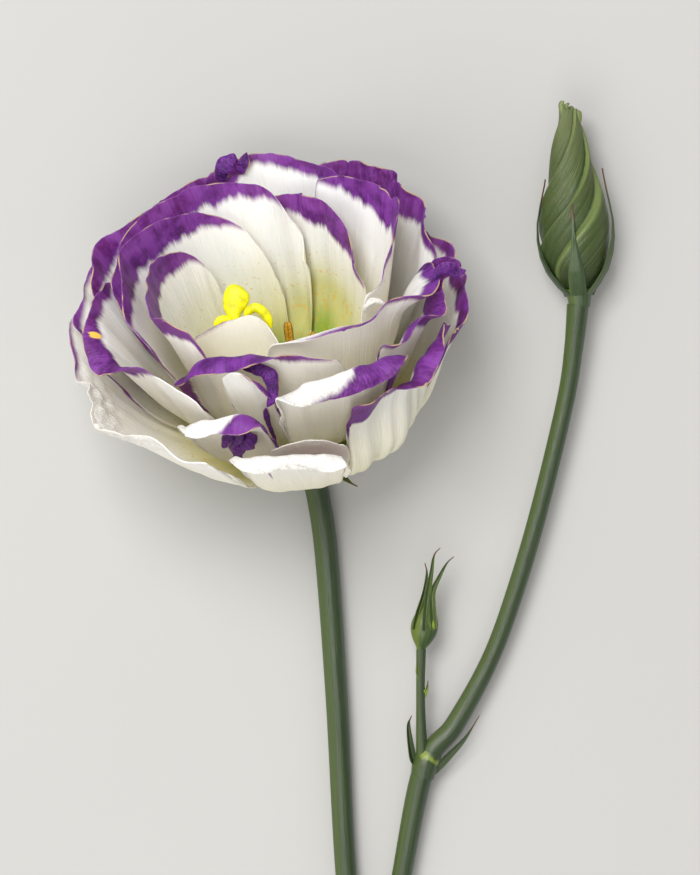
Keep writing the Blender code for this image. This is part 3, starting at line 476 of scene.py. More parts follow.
class Body:
    """Closed shells that are gathered into one piece, with the marks' values at their points."""

    def __init__(self, marks=GREEN_MARKS):
        self.points, self.faces, self.count = [], [], 0
        self.marks = {mark: [] for mark in marks}

    def take(self, points, faces, spread, marks):
        """Add a shell. spread lays one mark's values out over its points."""
        for face in faces:
            self.faces += (face + self.count).tolist()
        self.points.append(points)
        for mark, values in self.marks.items():
            values.append(spread(marks.get(mark, 0.0)))
        self.count += len(points)

    def rings(self, rings, **marks):
        """A closed shell through rings of points, brought to a point at each end."""
        rings = np.asarray(rings, float)
        count, sides = rings.shape[:2]
        index = np.arange(count * sides).reshape(count, sides)
        after = np.roll(index, -1, 1)
        walls = np.stack([index[:-1], after[:-1], after[1:], index[1:]], -1).reshape(-1, 4)
        caps = [
            np.stack([index[row], after[row], np.full(sides, count * sides + tip)], -1)[:, ::turn]
            for row, tip, turn in ((0, 0, -1), (-1, 1, 1))
        ]
        points = np.concatenate([rings.reshape(-1, 3), rings[[0, -1]].mean(1)])

        def spread(values):
            values = np.broadcast_to(values, (count, sides))
            return np.concatenate([values.ravel(), values[[0, -1]].mean(1)])

        self.take(points, [walls, *caps], spread, marks)

    def sheet(self, rows, thickness, **marks):
        """A closed thin blade round a grid of points. Its first face is the inner one."""
        high, wide = rows.shape[:2]
        half = normals(rows) * (np.broadcast_to(thickness, (high, wide)) / 2)[..., None]
        points = np.concatenate([(rows + half).reshape(-1, 3), (rows - half).reshape(-1, 3)])
        index = np.arange(high * wide).reshape(high, wide)
        a, b, c, d = index[:-1, :-1], index[:-1, 1:], index[1:, 1:], index[1:, :-1]
        near = np.stack([a, b, c, d], -1).reshape(-1, 4)
        far = np.stack([a, d, c, b], -1).reshape(-1, 4) + high * wide
        edge = np.concatenate([index[0, :-1], index[:-1, -1], index[-1, :0:-1], index[:0:-1, 0]])
        after = np.roll(edge, -1)
        strip = np.stack([edge, edge + high * wide, after + high * wide, after], -1)

        def spread(values):
            return np.broadcast_to(values, (2, high, wide)).ravel()

        self.take(points, [near, far, strip], spread, marks)

    def piece(self, node, material, slot, crease=CREASE):
        """One smooth-shaded object from the shells, in the node's place."""
        mesh = bpy.data.meshes.new("fine_" + node)
        mesh.from_pydata(np.concatenate(self.points) * METRES, [], self.faces)
        mesh.validate()
        for mark, values in self.marks.items():
            kept = mesh.attributes.new(mark, "FLOAT", "POINT")
            kept.data.foreach_set("value", np.concatenate(values).astype(np.float32))
        work = bmesh.new()
        work.from_mesh(mesh)
        bmesh.ops.recalc_face_normals(work, faces=work.faces)
        work.to_mesh(mesh)
        work.free()
        mesh.materials.append(material)
        mesh.shade_smooth()
        mesh.set_sharp_from_angle(angle=math.radians(crease))
        made = add_object(mesh.name, mesh)
        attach(made, "root")
        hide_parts(node)


class Value:
    """What a node gives. Sums, differences and products of values become nodes as well."""

    def __init__(self, shader, socket):
        self.shader, self.socket = shader, socket

    def reckon(self, operation, other):
        return self.shader.node("Math", {0: self, 1: other}, operation=operation)

    def __add__(self, other):
        return self.reckon("ADD", other)

    def __sub__(self, other):
        return self.reckon("SUBTRACT", other)

    def __mul__(self, other):
        return self.reckon("MULTIPLY", other)

    def over(self, span):
        """How much one of the material's spans covers: none at its start, its most at its end."""
        low, high, most = (*self.shader.spans[span], 1.0)[:3]
        inputs = {"Value": self, "From Min": low, "From Max": high, "To Max": most}
        return self.shader.node("MapRange", inputs, interpolation_type="SMOOTHSTEP")


class Shader:
    """A material's node tree, with short calls for the nodes that are used here."""

    def __init__(self, name, skin, spans):
        self.material = bpy.data.materials.new(name)
        self.material.use_nodes = True
        self.tree = self.material.node_tree
        self.surface = self.tree.nodes["Principled BSDF"]
        self.spans = spans
        for socket, value in skin.items():
            self.surface.inputs[socket].default_value = value
        self.place = self.node("TexCoord", {}, "Object")

    def give(self, socket, value):
        if isinstance(value, Value):
            self.tree.links.new(value.socket, socket)
        else:
            socket.default_value = (*value, 1.0) if isinstance(value, tuple) else value

    def node(self, kind, inputs, output=0, **settings):
        made = self.tree.nodes.new("ShaderNode" + kind)
        for setting, value in settings.items():
            setattr(made, setting, value)
        for socket, value in inputs.items():
            self.give(made.inputs[socket], value)
        return Value(self, made.outputs[output])

    def read(self, mark):
        return self.node("Attribute", {}, "Fac", attribute_name=mark)

    def noise(self, vector, scale=1.0, detail=2.0, roughness=0.5):
        """Noise at a place in metres, or at three values that span it."""
        if isinstance(vector, tuple):
            vector = self.node("CombineXYZ", dict(enumerate(vector)))
        inputs = {"Vector": vector, "Scale": scale, "Detail": detail, "Roughness": roughness}
        return self.node("TexNoise", inputs)

    def mix(self, share, a, b):
        return self.node("Mix", {0: share, 6: a, 7: b}, 2, data_type="RGBA")

    def layers(self, colour, *layers):
        """A colour with others laid over it, each by its share."""
        for share, over in layers:
            colour = self.mix(share, colour, over)
        return colour

    def ramp(self, value, stops):
        made = self.node("ValToRGB", {0: value})
        elements = made.socket.node.color_ramp.elements
        while len(elements) < len(stops):
            elements.new(1.0)
        for element, (place, colour) in zip(elements, stops):
            element.position = place
            element.color = (*colour, 1.0)
        return made

    def finish(self, colour, height=None, depth=0.0):
        """Give the skin its colour, and a bump whose height counts for a depth in metres."""
        self.give(self.surface.inputs["Base Color"], colour)
        if height is not None:
            bump = self.node("Bump", {"Height": height, "Distance": depth, "Strength": 1.0})
            self.give(self.surface.inputs["Normal"], bump)
        return self.material


def blend(values, weights):
    """The values' sum, each with its weight."""
    total, *others = [value * weight for value, weight in zip(values, weights)]
    for other in others:
        total = total + other
    return total


# Petal colours in linear light: what the throat's green turns into within REACH_SPAN mm of the claw.
REACH_SPAN = 40.0
THROAT = (
    (0, (0.06, 0.16, 0.008)), (0.19, (0.15, 0.27, 0.012)), (0.3, (0.42, 0.43, 0.12)),
    (0.42, (0.68, 0.63, 0.36)), (0.55, (0.86, 0.82, 0.65)), (0.72, (0.9, 0.88, 0.83)),
)
OUTER_WHITE = (
    (0, (0.3, 0.36, 0.1)), (0.35, (0.74, 0.7, 0.44)), (0.7, (0.8, 0.74, 0.6)), (1, (0.85, 0.82, 0.76)),
)
VIOLET_LIGHT = (0.148, 0.026, 0.25)
VIOLET = (0.078, 0.01, 0.148)
# Deep violet streaks, and painted shade in the creases of crumpled violet.
VIOLET_DARK = (0.03, 0.004, 0.06)
OUTER_VIOLET = (0.12, 0.032, 0.17)
TAN_EDGE = (0.5, 0.33, 0.16)
AMBER_SPECK = (0.75, 0.4, 0.05)
AMBER_STREAK = (0.85, 0.45, 0.06)
KHAKI = (0.55, 0.53, 0.19)
FOOT_GREEN = (0.19, 0.34, 0.015)
MAUVE = (0.4, 0.32, 0.34)
# Painted shade in the creases of crumpled white parts.
CRUMPLE_SHADE = (0.56, 0.53, 0.49)
VEIN = (0.66, 0.61, 0.5)
PETAL_SKIN = {
    "Roughness": 0.5, "Subsurface Weight": 0.55, "Subsurface Scale": 0.002,
    "Subsurface Radius": (1, 0.85, 0.7), "Specular IOR Level": 0.22,
}
# Noises on a petal: changes in a mm across and along it, and detail. Then noises in space: changes in a
# metre, detail, roughness.
LINES = (2.2, 0.16, 3)
STRANDS = (0.8, 0.09, 2)
SCALLOPS = (0.26, 0.05, 1)
CREASES = (2.6, 1.1, 2)
PETAL_GRAIN = (3800, 2, 0.6)
PETAL_CLOUD = (330, 2)
PETAL_DOTS = (1300, 1)
# The violet starts ragged: the weights of lines, strands, scallops and grain in what widens it, in mm, and
# the middle of their sum. It also lies VIOLET_BACK nearer the margin.
RAGGED_WEIGHTS = (1.2, 2.2, 3.6, 0.5)
RAGGED_MIDDLE = 3.5
VIOLET_BACK = 0.3
# The weights of lines, strands, grain and creases in the relief, whose depth is in metres.
PETAL_RELIEF = (0.9, 0.8, 0.35, 2.6)
PETAL_DEPTH = 0.00012
# How much lines shift the light violet's clouds, strands the deep violet's, and lines the amber, with the
# middle of that shift. How much the outer face's own violet covers, and the tan edge at the least.
LIGHT_SHIFT = 0.6
DEEP_SHIFT = 0.5
AMBER_SHIFT = (0.5, 0.25)
OUTER_SHARE = 0.6
TAN_LEAST = 0.2
# Spans of what is read: where a colour starts, where it is full, and how much it covers there.
PETAL_SPANS = {
    "violet": (-0.85, 0.95), "ragged": (0, 4.5), "faint lines": (0.5, 0.75, 0.2),
    "tinge": (0.05, 0.95, 0.85), "foot": (1.15, 2.1, 0.85), "more dots": (0, 0.8, 0.07),
    "dots": (0.67, 0.74, 0.6), "throat": (34, 20), "light": (0.62, 1), "deep": (0.76, 0.5, 0.65),
    # crumpled and creases paint shade into the creases of crumpled parts.
    "bright grain": (0.52, 0.8), "creases": (0.6, 0.35, 0.7), "crumpled": (1.35, 0.7),
    "margin": (0.16, 0.05), "scallops": (0.46, 0.62), "wide band": (0.5, 3, 0.6), "amber": (0.35, 0.6),
}


def petal_material():
    """White, going green in the throat, with a streaked violet margin, veins, specks, a tan edge, and
    painted shade in the creases of crumpled parts.
    """
    shader = Shader("petal_skin", PETAL_SKIN, PETAL_SPANS)
    violet, band, edge, vein, reach, wrinkle, amber, tinge, seed, outer = map(shader.read, PETAL_MARKS)
    lines, strands, scallops, creases = [
        shader.noise((vein * across, reach * along, seed), detail=detail)
        for across, along, detail in (LINES, STRANDS, SCALLOPS, CREASES)
    ]
    grain, cloud, dots = [
        shader.noise(shader.place, *noise) for noise in (PETAL_GRAIN, PETAL_CLOUD, PETAL_DOTS)
    ]
    ragged = blend((lines, strands, scallops, grain), RAGGED_WEIGHTS) - RAGGED_MIDDLE
    depth = violet + ragged * band.over("ragged") - VIOLET_BACK
    way = reach.reckon("DIVIDE", REACH_SPAN)
    dots = (dots + tinge.over("more dots")).over("dots") * reach.over("throat")
    white = shader.layers(
        shader.mix(outer, shader.ramp(way, THROAT), shader.ramp(way, OUTER_WHITE)),
        (lines.over("faint lines"), VEIN),
        (tinge.over("tinge"), shader.mix(outer, KHAKI, MAUVE)),
        (tinge.over("foot"), FOOT_GREEN),
        (dots * (outer * -1.0 + 1.0), AMBER_SPECK),
        # Painted shade in the creases of crumpled parts.
        (wrinkle * (creases + grain).over("crumpled"), CRUMPLE_SHADE),
    )
    tint = shader.layers(
        VIOLET,
        ((cloud + lines * LIGHT_SHIFT).over("light"), VIOLET_LIGHT),
        ((cloud + strands * DEEP_SHIFT).over("deep"), VIOLET_DARK),
        (grain.over("bright grain"), VIOLET_LIGHT),
        (outer * OUTER_SHARE, OUTER_VIOLET),
        # Painted shade in the creases of crumpled violet.
        (wrinkle * creases.over("creases"), VIOLET_DARK),
    )
    rim = edge.over("margin") * scallops.over("scallops") * (band.over("wide band") + TAN_LEAST)
    shift, back = AMBER_SHIFT
    colour = shader.layers(
        shader.mix(depth.over("violet"), white, tint),
        (rim, TAN_EDGE),
        ((amber + lines * shift - back).over("amber"), AMBER_STREAK),
    )
    height = blend((lines, strands, grain, wrinkle * creases), PETAL_RELIEF)
    return shader.finish(colour, height, PETAL_DEPTH)


# Small folded and crumpled ends of petals: what they are coloured as, and points (x, y, z) with half a
# width and half a thickness.
FLAPS = {
    "petal_small_front": (
        ("violet", ((-17.6, 49, 46.4, 0.4, 0.3), (-15.7, 49, 46.6, 0.9, 0.4),
            (-14, 48.6, 46.4, 1.1, 0.45), (-12.7, 47.5, 46.4, 1.2, 0.5), (-12.4, 45.8, 46.4, 1.1, 0.5),
            (-12.6, 44.1, 46.8, 0.9, 0.45), (-13.4, 42.5, 46.4, 0.5, 0.3))),
        ("violet", ((-13.7, 42.4, 44, 0.7, 0.3), (-13.6, 40.7, 40.6, 0.5, 0.3),
            (-12.9, 38.6, 36.8, 0.4, 0.25), (-12.1, 36.5, 33, 0.3, 0.2))),
    ),
    "petal_middle_front_left": (
        ("violet", ((-21.2, 35.5, 39.3, 0.5, 0.4), (-20.4, 36.9, 41.4, 0.9, 0.5),
            (-19.2, 37.9, 43.6, 0.5, 0.3))),
        ("violet", ((-19.6, 35.8, 40, 0.6, 0.4), (-18.5, 37, 43, 0.8, 0.5),
            (-17.7, 38.1, 46.5, 0.5, 0.3))),
        ("violet", ((-17.7, 35.3, 39.6, 0.8, 0.5), (-16.6, 36.7, 42.8, 1.4, 0.6),
            (-15.2, 37.7, 44, 0.6, 0.3))),
        ("violet", ((-18.6, 36, 40.4, 1.3, 0.5), (-18.7, 34.6, 37.2, 1.1, 0.45),
            (-18.8, 33.2, 34.2, 0.4, 0.25))),
    ),
    "petal_middle_right": (
        ("violet", ((14.9, 64.3, 36.8, 0.6, 0.3), (16.3, 66.1, 36.2, 1, 0.35),
            (17.8, 66.8, 36.8, 1, 0.3), (19.4, 66.1, 35.8, 1, 0.35), (21, 66.4, 36.4, 0.5, 0.25))),
    ),
    "petal_inner_right": (
        ("white", ((3.2, 59.1, 38.6, 0.3, 0.25), (3.7, 60.2, 39.3, 0.4, 0.3), (4.7, 61, 39.6, 0.5, 0.3),
            (5.8, 60.9, 39.8, 0.45, 0.28), (6.9, 60.2, 42.6, 0.25, 0.2))),
    ),
    "petal_middle_back": (
        ("violet", ((-22.5, 83.4, 9.4, 1, 0.4), (-22.1, 85.5, 10.4, 1.8, 0.6),
            (-20.8, 86.9, 11, 1.7, 0.6), (-19.4, 87.1, 10.8, 0.9, 0.4))),
        ("violet", ((-19, 84.8, 9.8, 1, 0.4), (-18.3, 86.9, 11, 0.9, 0.4),
            (-17.8, 88.7, 10.8, 0.25, 0.2))),
    ),
}
FLAP_SIDES = 36
FLAP_STEPS = 46
# A flap's paint: how deep in the violet it lies, and its band's width. Then the height of its crinkles, the
# half width that they read, how much of its size its edge's mark takes up, its distance from the throat with
# half its depth there, and the seeds that each petal keeps for its flaps.
FLAP_PAINTS = {"violet": (3, 5), "white": (-3, 0)}
FLAP_CRINKLE = 0.16
FLAP_KNOT = 1.6
FLAP_EDGE = 0.8
FLAP_REACH = (30, 2)
FLAP_SEEDS = 10


def line_length(line):
    return np.linalg.norm(np.diff(line[:, :3], axis=0), axis=1).sum()


def rings_along(middle, turn, wide, thick):
    """Rings round a line, by their level half width and their upright one."""
    ahead = unit(np.gradient(middle, axis=0))
    level = unit(np.cross(ahead, UP))
    rings = middle[:, None] + (np.cos(turn) * wide)[..., None] * level[:, None]
    return rings + (np.sin(turn) * thick)[..., None] * np.cross(level, ahead)[:, None]


# A lobe's ends are rounded over 1 / LOBE_ROUND of each half, and closed down to a narrow ring.
LOBE_ROUND = 2.2
LOBE_CLOSED = 0.985


def lobe(body, line, sides=32, steps=30, crinkle=0.0, **marks):
    """A flattened rounded lobe along points that carry half a width and half a thickness."""
    spots = through(line, shares(steps))
    turn = turns(sides)
    end = np.abs(np.linspace(-1, 1, steps)) * LOBE_ROUND + 1 - LOBE_ROUND
    end = np.sin(np.arccos(np.clip(end, 0, LOBE_CLOSED)))[:, None] * (1 + crinkle)
    rings = rings_along(spots[:, :3], turn, spots[:, 3:4] * end, spots[:, 4:5] * end)
    body.rings(rings, **{"side": np.cos(turn), "up": np.sin(turn), "along": shares(steps)[:, None], **marks})


def flap(body, paint, line, seed):
    """A small crinkled fold of a petal, as a flattened lobe."""
    draw = np.random.default_rng(seed)
    line = np.array(line)
    along = np.linspace(0, line_length(line), FLAP_STEPS)[:, None]
    turn = turns(FLAP_SIDES)[None, :]
    over, up = np.cos(turn), np.sin(turn)
    crinkle = FLAP_CRINKLE * (tangle(FLAP_KNOT * over, along, draw) + tangle(FLAP_KNOT * up, along, draw))
    violet, band = FLAP_PAINTS[paint]
    edge = line[:, 3].max() * (1 - np.abs(over)) * FLAP_EDGE
    reach = FLAP_REACH[0] + FLAP_REACH[1] * over
    # A flap counts as crumpled all over, so it takes painted shade in its creases.
    lobe(
        body, line, FLAP_SIDES, FLAP_STEPS, crinkle, violet=violet, band=band, edge=edge, vein=along,
        reach=reach, wrinkle=1.0, seed=seed * SEED_STEP,
    )


def petals():
    material = petal_material()
    thickness = between(BLADE_THICK, shares(BLADE_ALONG) ** 2)[:, None]
    for seed, (name, petal) in enumerate(PETALS.items(), 1):
        rows, marks = petal_rows(petal, seed)
        body = Body(PETAL_MARKS)
        body.sheet(rows, thickness, **marks)
        for turn, (paint, line) in enumerate(FLAPS.get(name, ())):
            flap(body, paint, line, seed * FLAP_SEEDS + turn)
        body.piece(name, material, "petal")


# Greens in linear light: shade, body and light.
STEM_GREENS = ((0.009, 0.021, 0.004), (0.02, 0.041, 0.008), (0.054, 0.085, 0.017))
CALYX_GREENS = ((0.04, 0.075, 0.01), (0.1, 0.16, 0.025), (0.22, 0.29, 0.055))
BUD_CALYX_GREENS = ((0.012, 0.03, 0.007), (0.028, 0.058, 0.015), (0.072, 0.11, 0.025))
YOUNG_GREENS = ((0.012, 0.032, 0.003), (0.034, 0.066, 0.005), (0.11, 0.15, 0.014))
# Glaucous grey-green, laid only down the right edge as a painted rim light.
GLAUCOUS_RIM_LIGHT = (0.052, 0.085, 0.054)
LIME = (0.2, 0.27, 0.02)
TIP_BROWN = (0.09, 0.035, 0.015)
GREEN_SKIN = {
    "Roughness": 0.42, "Subsurface Weight": 0.12, "Subsurface Scale": 0.0008, "Coat Weight": 0.12,
    "Coat Roughness": 0.35,
}
# Streaks and threads: changes round the stem, changes in a mm along it, detail, roughness. Then mottles.
STREAKS = (5, 0.09, 3, 0.6)
THREADS = (16, 0.5, 2, 0.5)
MOTTLES = (420, 3)
# The weights of streaks, threads and mottles in the relief. The mottles' middle where they shift the lime,
# and how much they shift the brown tips, with the middle of that.
GREEN_RELIEF = (1, 0.6, 0.5)
GREEN_DEPTH = 0.00008
LIME_MIDDLE = 0.5
TIP_SHIFT = (0.12, 0.06)
# left is painted light down a stem's left side; right lays the glaucous colour down its right edge as a
# painted rim light.
GREEN_SPANS = {
    "streaks": (0.35, 0.65), "left": (0.05, -0.7, 0.8), "right": (0.55, 0.95, 0.55),
    "threads": (0.55, 0.75, 0.3), "lime": (0.3, 0.6), "tip": (0.72, 0.9),
}


def green_material(name, greens):
    """A waxy green skin with fine lengthwise streaks. It has painted light down its left side, its glaucous
    colour laid down its right edge as a painted rim light, and brown tips."""
    shader = Shader(name, GREEN_SKIN, GREEN_SPANS)
    side, up, along, tip, lime = map(shader.read, GREEN_MARKS)
    streaks, threads = [
        shader.noise((side * round_it, up * round_it, along * ahead), 1.0, *rest)
        for round_it, ahead, *rest in (STREAKS, THREADS)
    ]
    mottles = shader.noise(shader.place, *MOTTLES)
    shade, body, light = greens
    shift, back = TIP_SHIFT
    colour = shader.layers(
        shade,
        (streaks.over("streaks"), body),
        # Painted light down the left side, and the glaucous colour as a painted rim light down the right
        # edge.
        (side.over("left"), light),
        (side.over("right"), GLAUCOUS_RIM_LIGHT),
        (threads.over("threads"), light),
        ((lime + mottles - LIME_MIDDLE).over("lime"), LIME),
        ((tip + mottles * shift - back).over("tip"), TIP_BROWN),
    )
    return shader.finish(colour, blend((streaks, threads, mottles), GREEN_RELIEF), GREEN_DEPTH)


# A stem has RIBS ribs, the first one RIB_TURN radians round, and at least LEAST_RINGS rings.
RIBS = 4
RIB_TURN = 0.8
LEAST_RINGS = 8


def tube(body, line, sides=28, steps=0.7, ribs=0.0, lime=0.0):
    """A round stem along points that carry their radius. ribs is how far its ribs stand out, as a share of
    the radius. lime may be a function of the share of its length."""
    line = np.asarray(line, float)
    length = line_length(line)
    spots = through(line, shares(max(LEAST_RINGS, int(length / steps))))
    turn = turns(sides)
    wide = spots[:, 3:] * (1 + ribs * np.cos(RIBS * turn + RIB_TURN))
    along = np.linspace(0, length, len(spots))[:, None]
    rings = rings_along(spots[:, :3], turn, wide, wide)
    lime = lime(along / length) if callable(lime) else lime
    # side also places the green skin's painted light on the left and its painted rim light on the right.
    body.rings(rings, side=np.cos(turn), up=np.sin(turn), along=along, lime=lime)


# Narrow leaves: points across and along, and half widths from foot to tip as shares. A leaf's keel is
# LEAF_KEEL deep and KEEL_HALF of the half width wide. It is thinnest at its tip and its margins, by
# LEAF_THINNING each. Its skin is coloured like a stem's, painted side light included, from LEAF_SIDE left to
# LEAF_SIDE right, LEAF_UP up.
LEAF_ACROSS = 9
LEAF_STEPS = 34
NARROW_LEAF = (0.9, 1, 0.9, 0.7, 0.45, 0.18, 0.04)
LEAF_THICK = 0.32
LEAF_DISH = 0.25
LEAF_KEEL = 0.12
KEEL_HALF = 0.2
LEAF_THINNING = 0.5
LEAF_SIDE = 0.4
LEAF_UP = 0.3


def leaf(body, middle, side, width, dish=LEAF_DISH, lime=0.0):
    """A narrow pointed leaf: a middle line, its sideways directions and its half widths."""
    over = np.linspace(-1, 1, LEAF_ACROSS)
    up = np.cross(side, unit(np.gradient(middle, axis=0)))
    up = up * np.where(up[:, 2:] < 0, -1.0, 1.0)
    lift = dish * width[:, None] * over**2 - LEAF_KEEL * bell(over, 0, KEEL_HALF)
    rows = middle[:, None] + side[:, None] * (width[:, None] * over)[..., None]
    rows = rows + up[:, None] * lift[..., None]
    share = shares(len(middle))[:, None]
    thin = LEAF_THICK * (1 - LEAF_THINNING * share) * (1 - LEAF_THINNING * over**2)
    along = arc(middle[:, None], 0)
    body.sheet(rows, thin, side=over * LEAF_SIDE, up=LEAF_UP, along=along, tip=share, lime=lime)


def around(azimuth):
    """The outward and the sideways direction at an azimuth in degrees."""
    turn = math.radians(azimuth)
    return np.array((math.cos(turn), math.sin(turn), 0.0)), np.array((-math.sin(turn), math.cos(turn), 0.0))


def foot_to_tip(foot, tip):
    """The foot, the length, and three axes whose last one runs to the tip."""
    run = np.array(tip) - foot
    last = unit(run)
    first = unit(np.cross(UP, last))
    return np.array(foot), np.linalg.norm(run), np.array((first, np.cross(last, first), last))


def turned(body, profile, sides, place, steps=48, lime=0.0):
    """A smooth turned shell through (radius, height) points, set in its place by a function."""
    outline = through(profile, shares(steps))
    turn = turns(sides)
    rings = [np.stack([r * np.cos(turn), r * np.sin(turn), np.full(sides, h)], -1) for r, h in outline]
    # side also places the green skin's painted light on the left and its painted rim light on the right.
    marks = {"side": -np.cos(turn), "up": np.sin(turn), "along": outline[:, 1:], "lime": lime}
    body.rings(place(np.array(rings)), **marks)


# Stems: points of the middle line (x, y, z) and the radius there.
MAIN_STEM = ((5.2, -97.5, 2.5, 2.5), (4.9, -88, 2.7, 2.5), (4.6, -79, 3, 2.6))
BLOOM_STEM = (
    (4.6, -80.2, 3, 2.3), (2.6, -62, 3.1, 2), (0.1, -42.4, 3.2, 1.9), (-1.6, -10.5, 3.2, 2),
    (-3.4, 15, 3, 2.1), (-4.9, 26, 2.8, 2.1),
)
BLOOM_NECK = ((7.9, 2.15), (6.1, 2.15), (4.1, 2.3))
BRANCH = (
    (4.6, -80.2, 3, 2.2), (7.4, -60, 3.4, 1.9), (10.2, -42.4, 3.8, 1.8), (14.4, -22.3, 4.2, 2),
    (19.9, -14.8, 4.3, 1.8), (26.5, -2.5, 4.5, 1.6), (31.4, 11.2, 4.9, 1.6), (35.6, 25.9, 5.4, 1.6),
    (39.9, 44.1, 6.1, 1.6), (41.3, 53.2, 6.6, 1.7), (42.1, 61.3, 7, 2),
)
STALK = ((14.2, -24, 4.4, 1.3), (13.8, -18, 5, 1), (13.6, -9, 5.6, 0.8), (13.7, -1.1, 6, 0.9))
# How far a stem's ribs stand out, as a share of its radius.
STEM_RIBS = 0.02
# The collar round the fork, and where along it the lime patch lies: its strength, middle and half width.
COLLAR = ((14, -24.6, 4.2, 2), (14.3, -22.8, 4.2, 2.35), (14.9, -21.2, 4.3, 2.25), (16, -19.6, 4.3, 1.8))
COLLAR_LIME = (0.5, 0.75, 0.2)
# Bracts: points of their middle lines. They are tilted off the level by BRACT_TILT degrees.
BRACT_HALF_WIDTH = 0.9
STALK_BRACT_HALF_WIDTH = 0.6
STALK_BRACT_LIME = 0.5
BRACT_TILT = 35.0
BRACTS = (
    ((12.9, -22, 4.4), (12.1, -20.5, 4.6), (11.4, -15.2, 5), (12, -13.2, 5.6)),
    ((15.9, -23.4, 4.2), (18.6, -20.6, 4.5), (21.6, -17.4, 5), (24.3, -13.2, 5.6)),
    ((3.2, -79.6, 3.4), (1.4, -76.6, 4), (0.2, -72.2, 4.4), (-0.2, -68.4, 4.8)),
    ((6.2, -79.8, 3.4), (8.6, -77.4, 4.2), (10, -73.4, 4.6), (10.6, -69.4, 5)),
)
STALK_BRACTS = (
    ((13.6, -10.2, 5.6), (14.6, -8.6, 5.8), (15, -6.8, 6)),
    ((13.6, -6.4, 5.8), (13, -5, 6.2), (12.9, -3.4, 6.4)),
)


def bract(body, line, half_width, lime=0.0):
    """A narrow leaf along a few points, tilted a little off the level."""
    middle = through(line, shares(LEAF_STEPS))
    ahead = unit(np.gradient(middle, axis=0))
    level = unit(np.cross(UP, ahead))
    tilt = math.radians(BRACT_TILT)
    side = level * math.cos(tilt) + np.cross(ahead, level) * math.sin(tilt)
    leaf(body, middle, side, half_width * through(NARROW_LEAF, shares(LEAF_STEPS)), lime=lime)


def stem():
    """The cut stem, its fork, both branches, the young bud's stalk and the bracts."""
    body = Body()
    up = bloom_axes()[2]
    neck = tuple((*(np.array(BLOOM_SEAT) - up * back), radius) for back, radius in BLOOM_NECK)
    for line in (MAIN_STEM, BLOOM_STEM + neck, BRANCH):
        tube(body, line, ribs=STEM_RIBS)
    strength, middle, half = COLLAR_LIME
    tube(body, COLLAR, 24, 0.4, lime=lambda share: strength * bell(share, middle, half))
    tube(body, STALK, 20)
    for line in BRACTS:
        bract(body, line, BRACT_HALF_WIDTH)
    for line in STALK_BRACTS:
        bract(body, line, STALK_BRACT_HALF_WIDTH, STALK_BRACT_LIME)
    body.piece("stem", green_material("stem_skin", STEM_GREENS), "stem_green")


# The receptacle's outline: radius and height. The bloom's sepals: azimuth, openness, length. They start
# SEPAL_ROOT inside their cone and reach it within the first 1 / SEPAL_BOW of their length.
CALYX_PROFILE = (
    (1.6, -4.05), (2.9, -3.8), (3.8, -3), (4.3, -2.3), (4, -1.4), (3.6, 0.4), (2.9, 3.6), (2.2, 6.6),
    (1, 7.5),
)
SEPAL_LEVEL = 1.27
SEPAL_ROOT = 1.6
SEPAL_BOW = 6
SEPAL_HALF_WIDTH = 1.2
SEPALS = ((0, 1.12, 21), (81, 0.87, 17), (144, 1.05, 16), (214, 1.2, 13), (289, 1.14, 19))


def calyx():
    """The receptacle with five narrow, keeled sepals."""
    body = Body()
    turned(body, CALYX_PROFILE, 48, in_place)
    share = shares(LEAF_STEPS)
    width = SEPAL_HALF_WIDTH * through(NARROW_LEAF, share)
    for azimuth, openness, length in SEPALS:
        radius, height = wall(SEPAL_LEVEL, openness, length, shares(RAY_STEPS)[None, :])
        radius = through(radius[0], share) - SEPAL_ROOT * (1 - ease(share * SEPAL_BOW))
        out, side = around(azimuth)
        middle = out * radius[:, None] + UP * through(height[0], share)[:, None]
        leaf(body, in_place(middle), np.broadcast_to(side @ bloom_axes(), middle.shape), width)
    body.piece("calyx", green_material("calyx_skin", CALYX_GREENS), "calyx_green")


# The ovary's outline, and the style: x, y and height in the bloom's frame, and radius.
OVARY = ((1, 7.6), (1.2, 8.8), (1.8, 10.4), (2, 12.2), (1.7, 14.2), (1.1, 15.8), (0.6, 16.4))
STYLE = ((0, 0, 15, 0.9), (-1.4, 0.7, 18.5, 0.7), (-3.6, 1.9, 21.8, 0.75), (-5.6, 3.2, 24.6, 1))
# The stigma's lobes: x, y, z, half width and half thickness along each.
STIGMA_LOBES = (
    ((-19.2, 57.6, 21.6, 0.7, 0.7), (-19.7, 58.8, 21.5, 1.1, 0.8), (-19.75, 60.4, 21.4, 2, 1),
     (-19.3, 62.3, 21.5, 2.35, 1.05), (-18.75, 63.5, 21.6, 1.95, 0.9), (-18.4, 64.1, 21.6, 1.2, 0.55)),
    ((-18, 58, 22.4, 0.5, 0.5), (-17.2, 59.6, 23.2, 0.75, 0.7), (-16, 60.3, 23.6, 0.85, 0.8),
     (-14.7, 59.7, 23.6, 0.85, 0.8), (-13.7, 58.3, 23.3, 0.8, 0.75), (-13.1, 56.7, 22.9, 0.55, 0.5)),
    ((-19.6, 57.4, 22, 0.5, 0.5), (-21, 58.2, 22.3, 0.7, 0.7), (-22.2, 58.1, 22.4, 0.75, 0.7),
     (-23.3, 57, 22.3, 0.55, 0.5)),
)
STIGMA_YELLOW = ((0.62, 0.6, 0.002), (0.88, 0.84, 0.003))
OVARY_GREEN = (0.22, 0.36, 0.02)
STIGMA_SKIN = {"Roughness": 0.5, "Subsurface Weight": 0.25, "Subsurface Scale": 0.001}
# Two noises: changes in a metre, detail. The down shifts the clouds by DOWN_SHIFT.
STIGMA_DOWN = (5200, 2)
STIGMA_CLOUD = (700, 2)
DOWN_SHIFT = 0.4
STIGMA_DEPTH = 0.00005


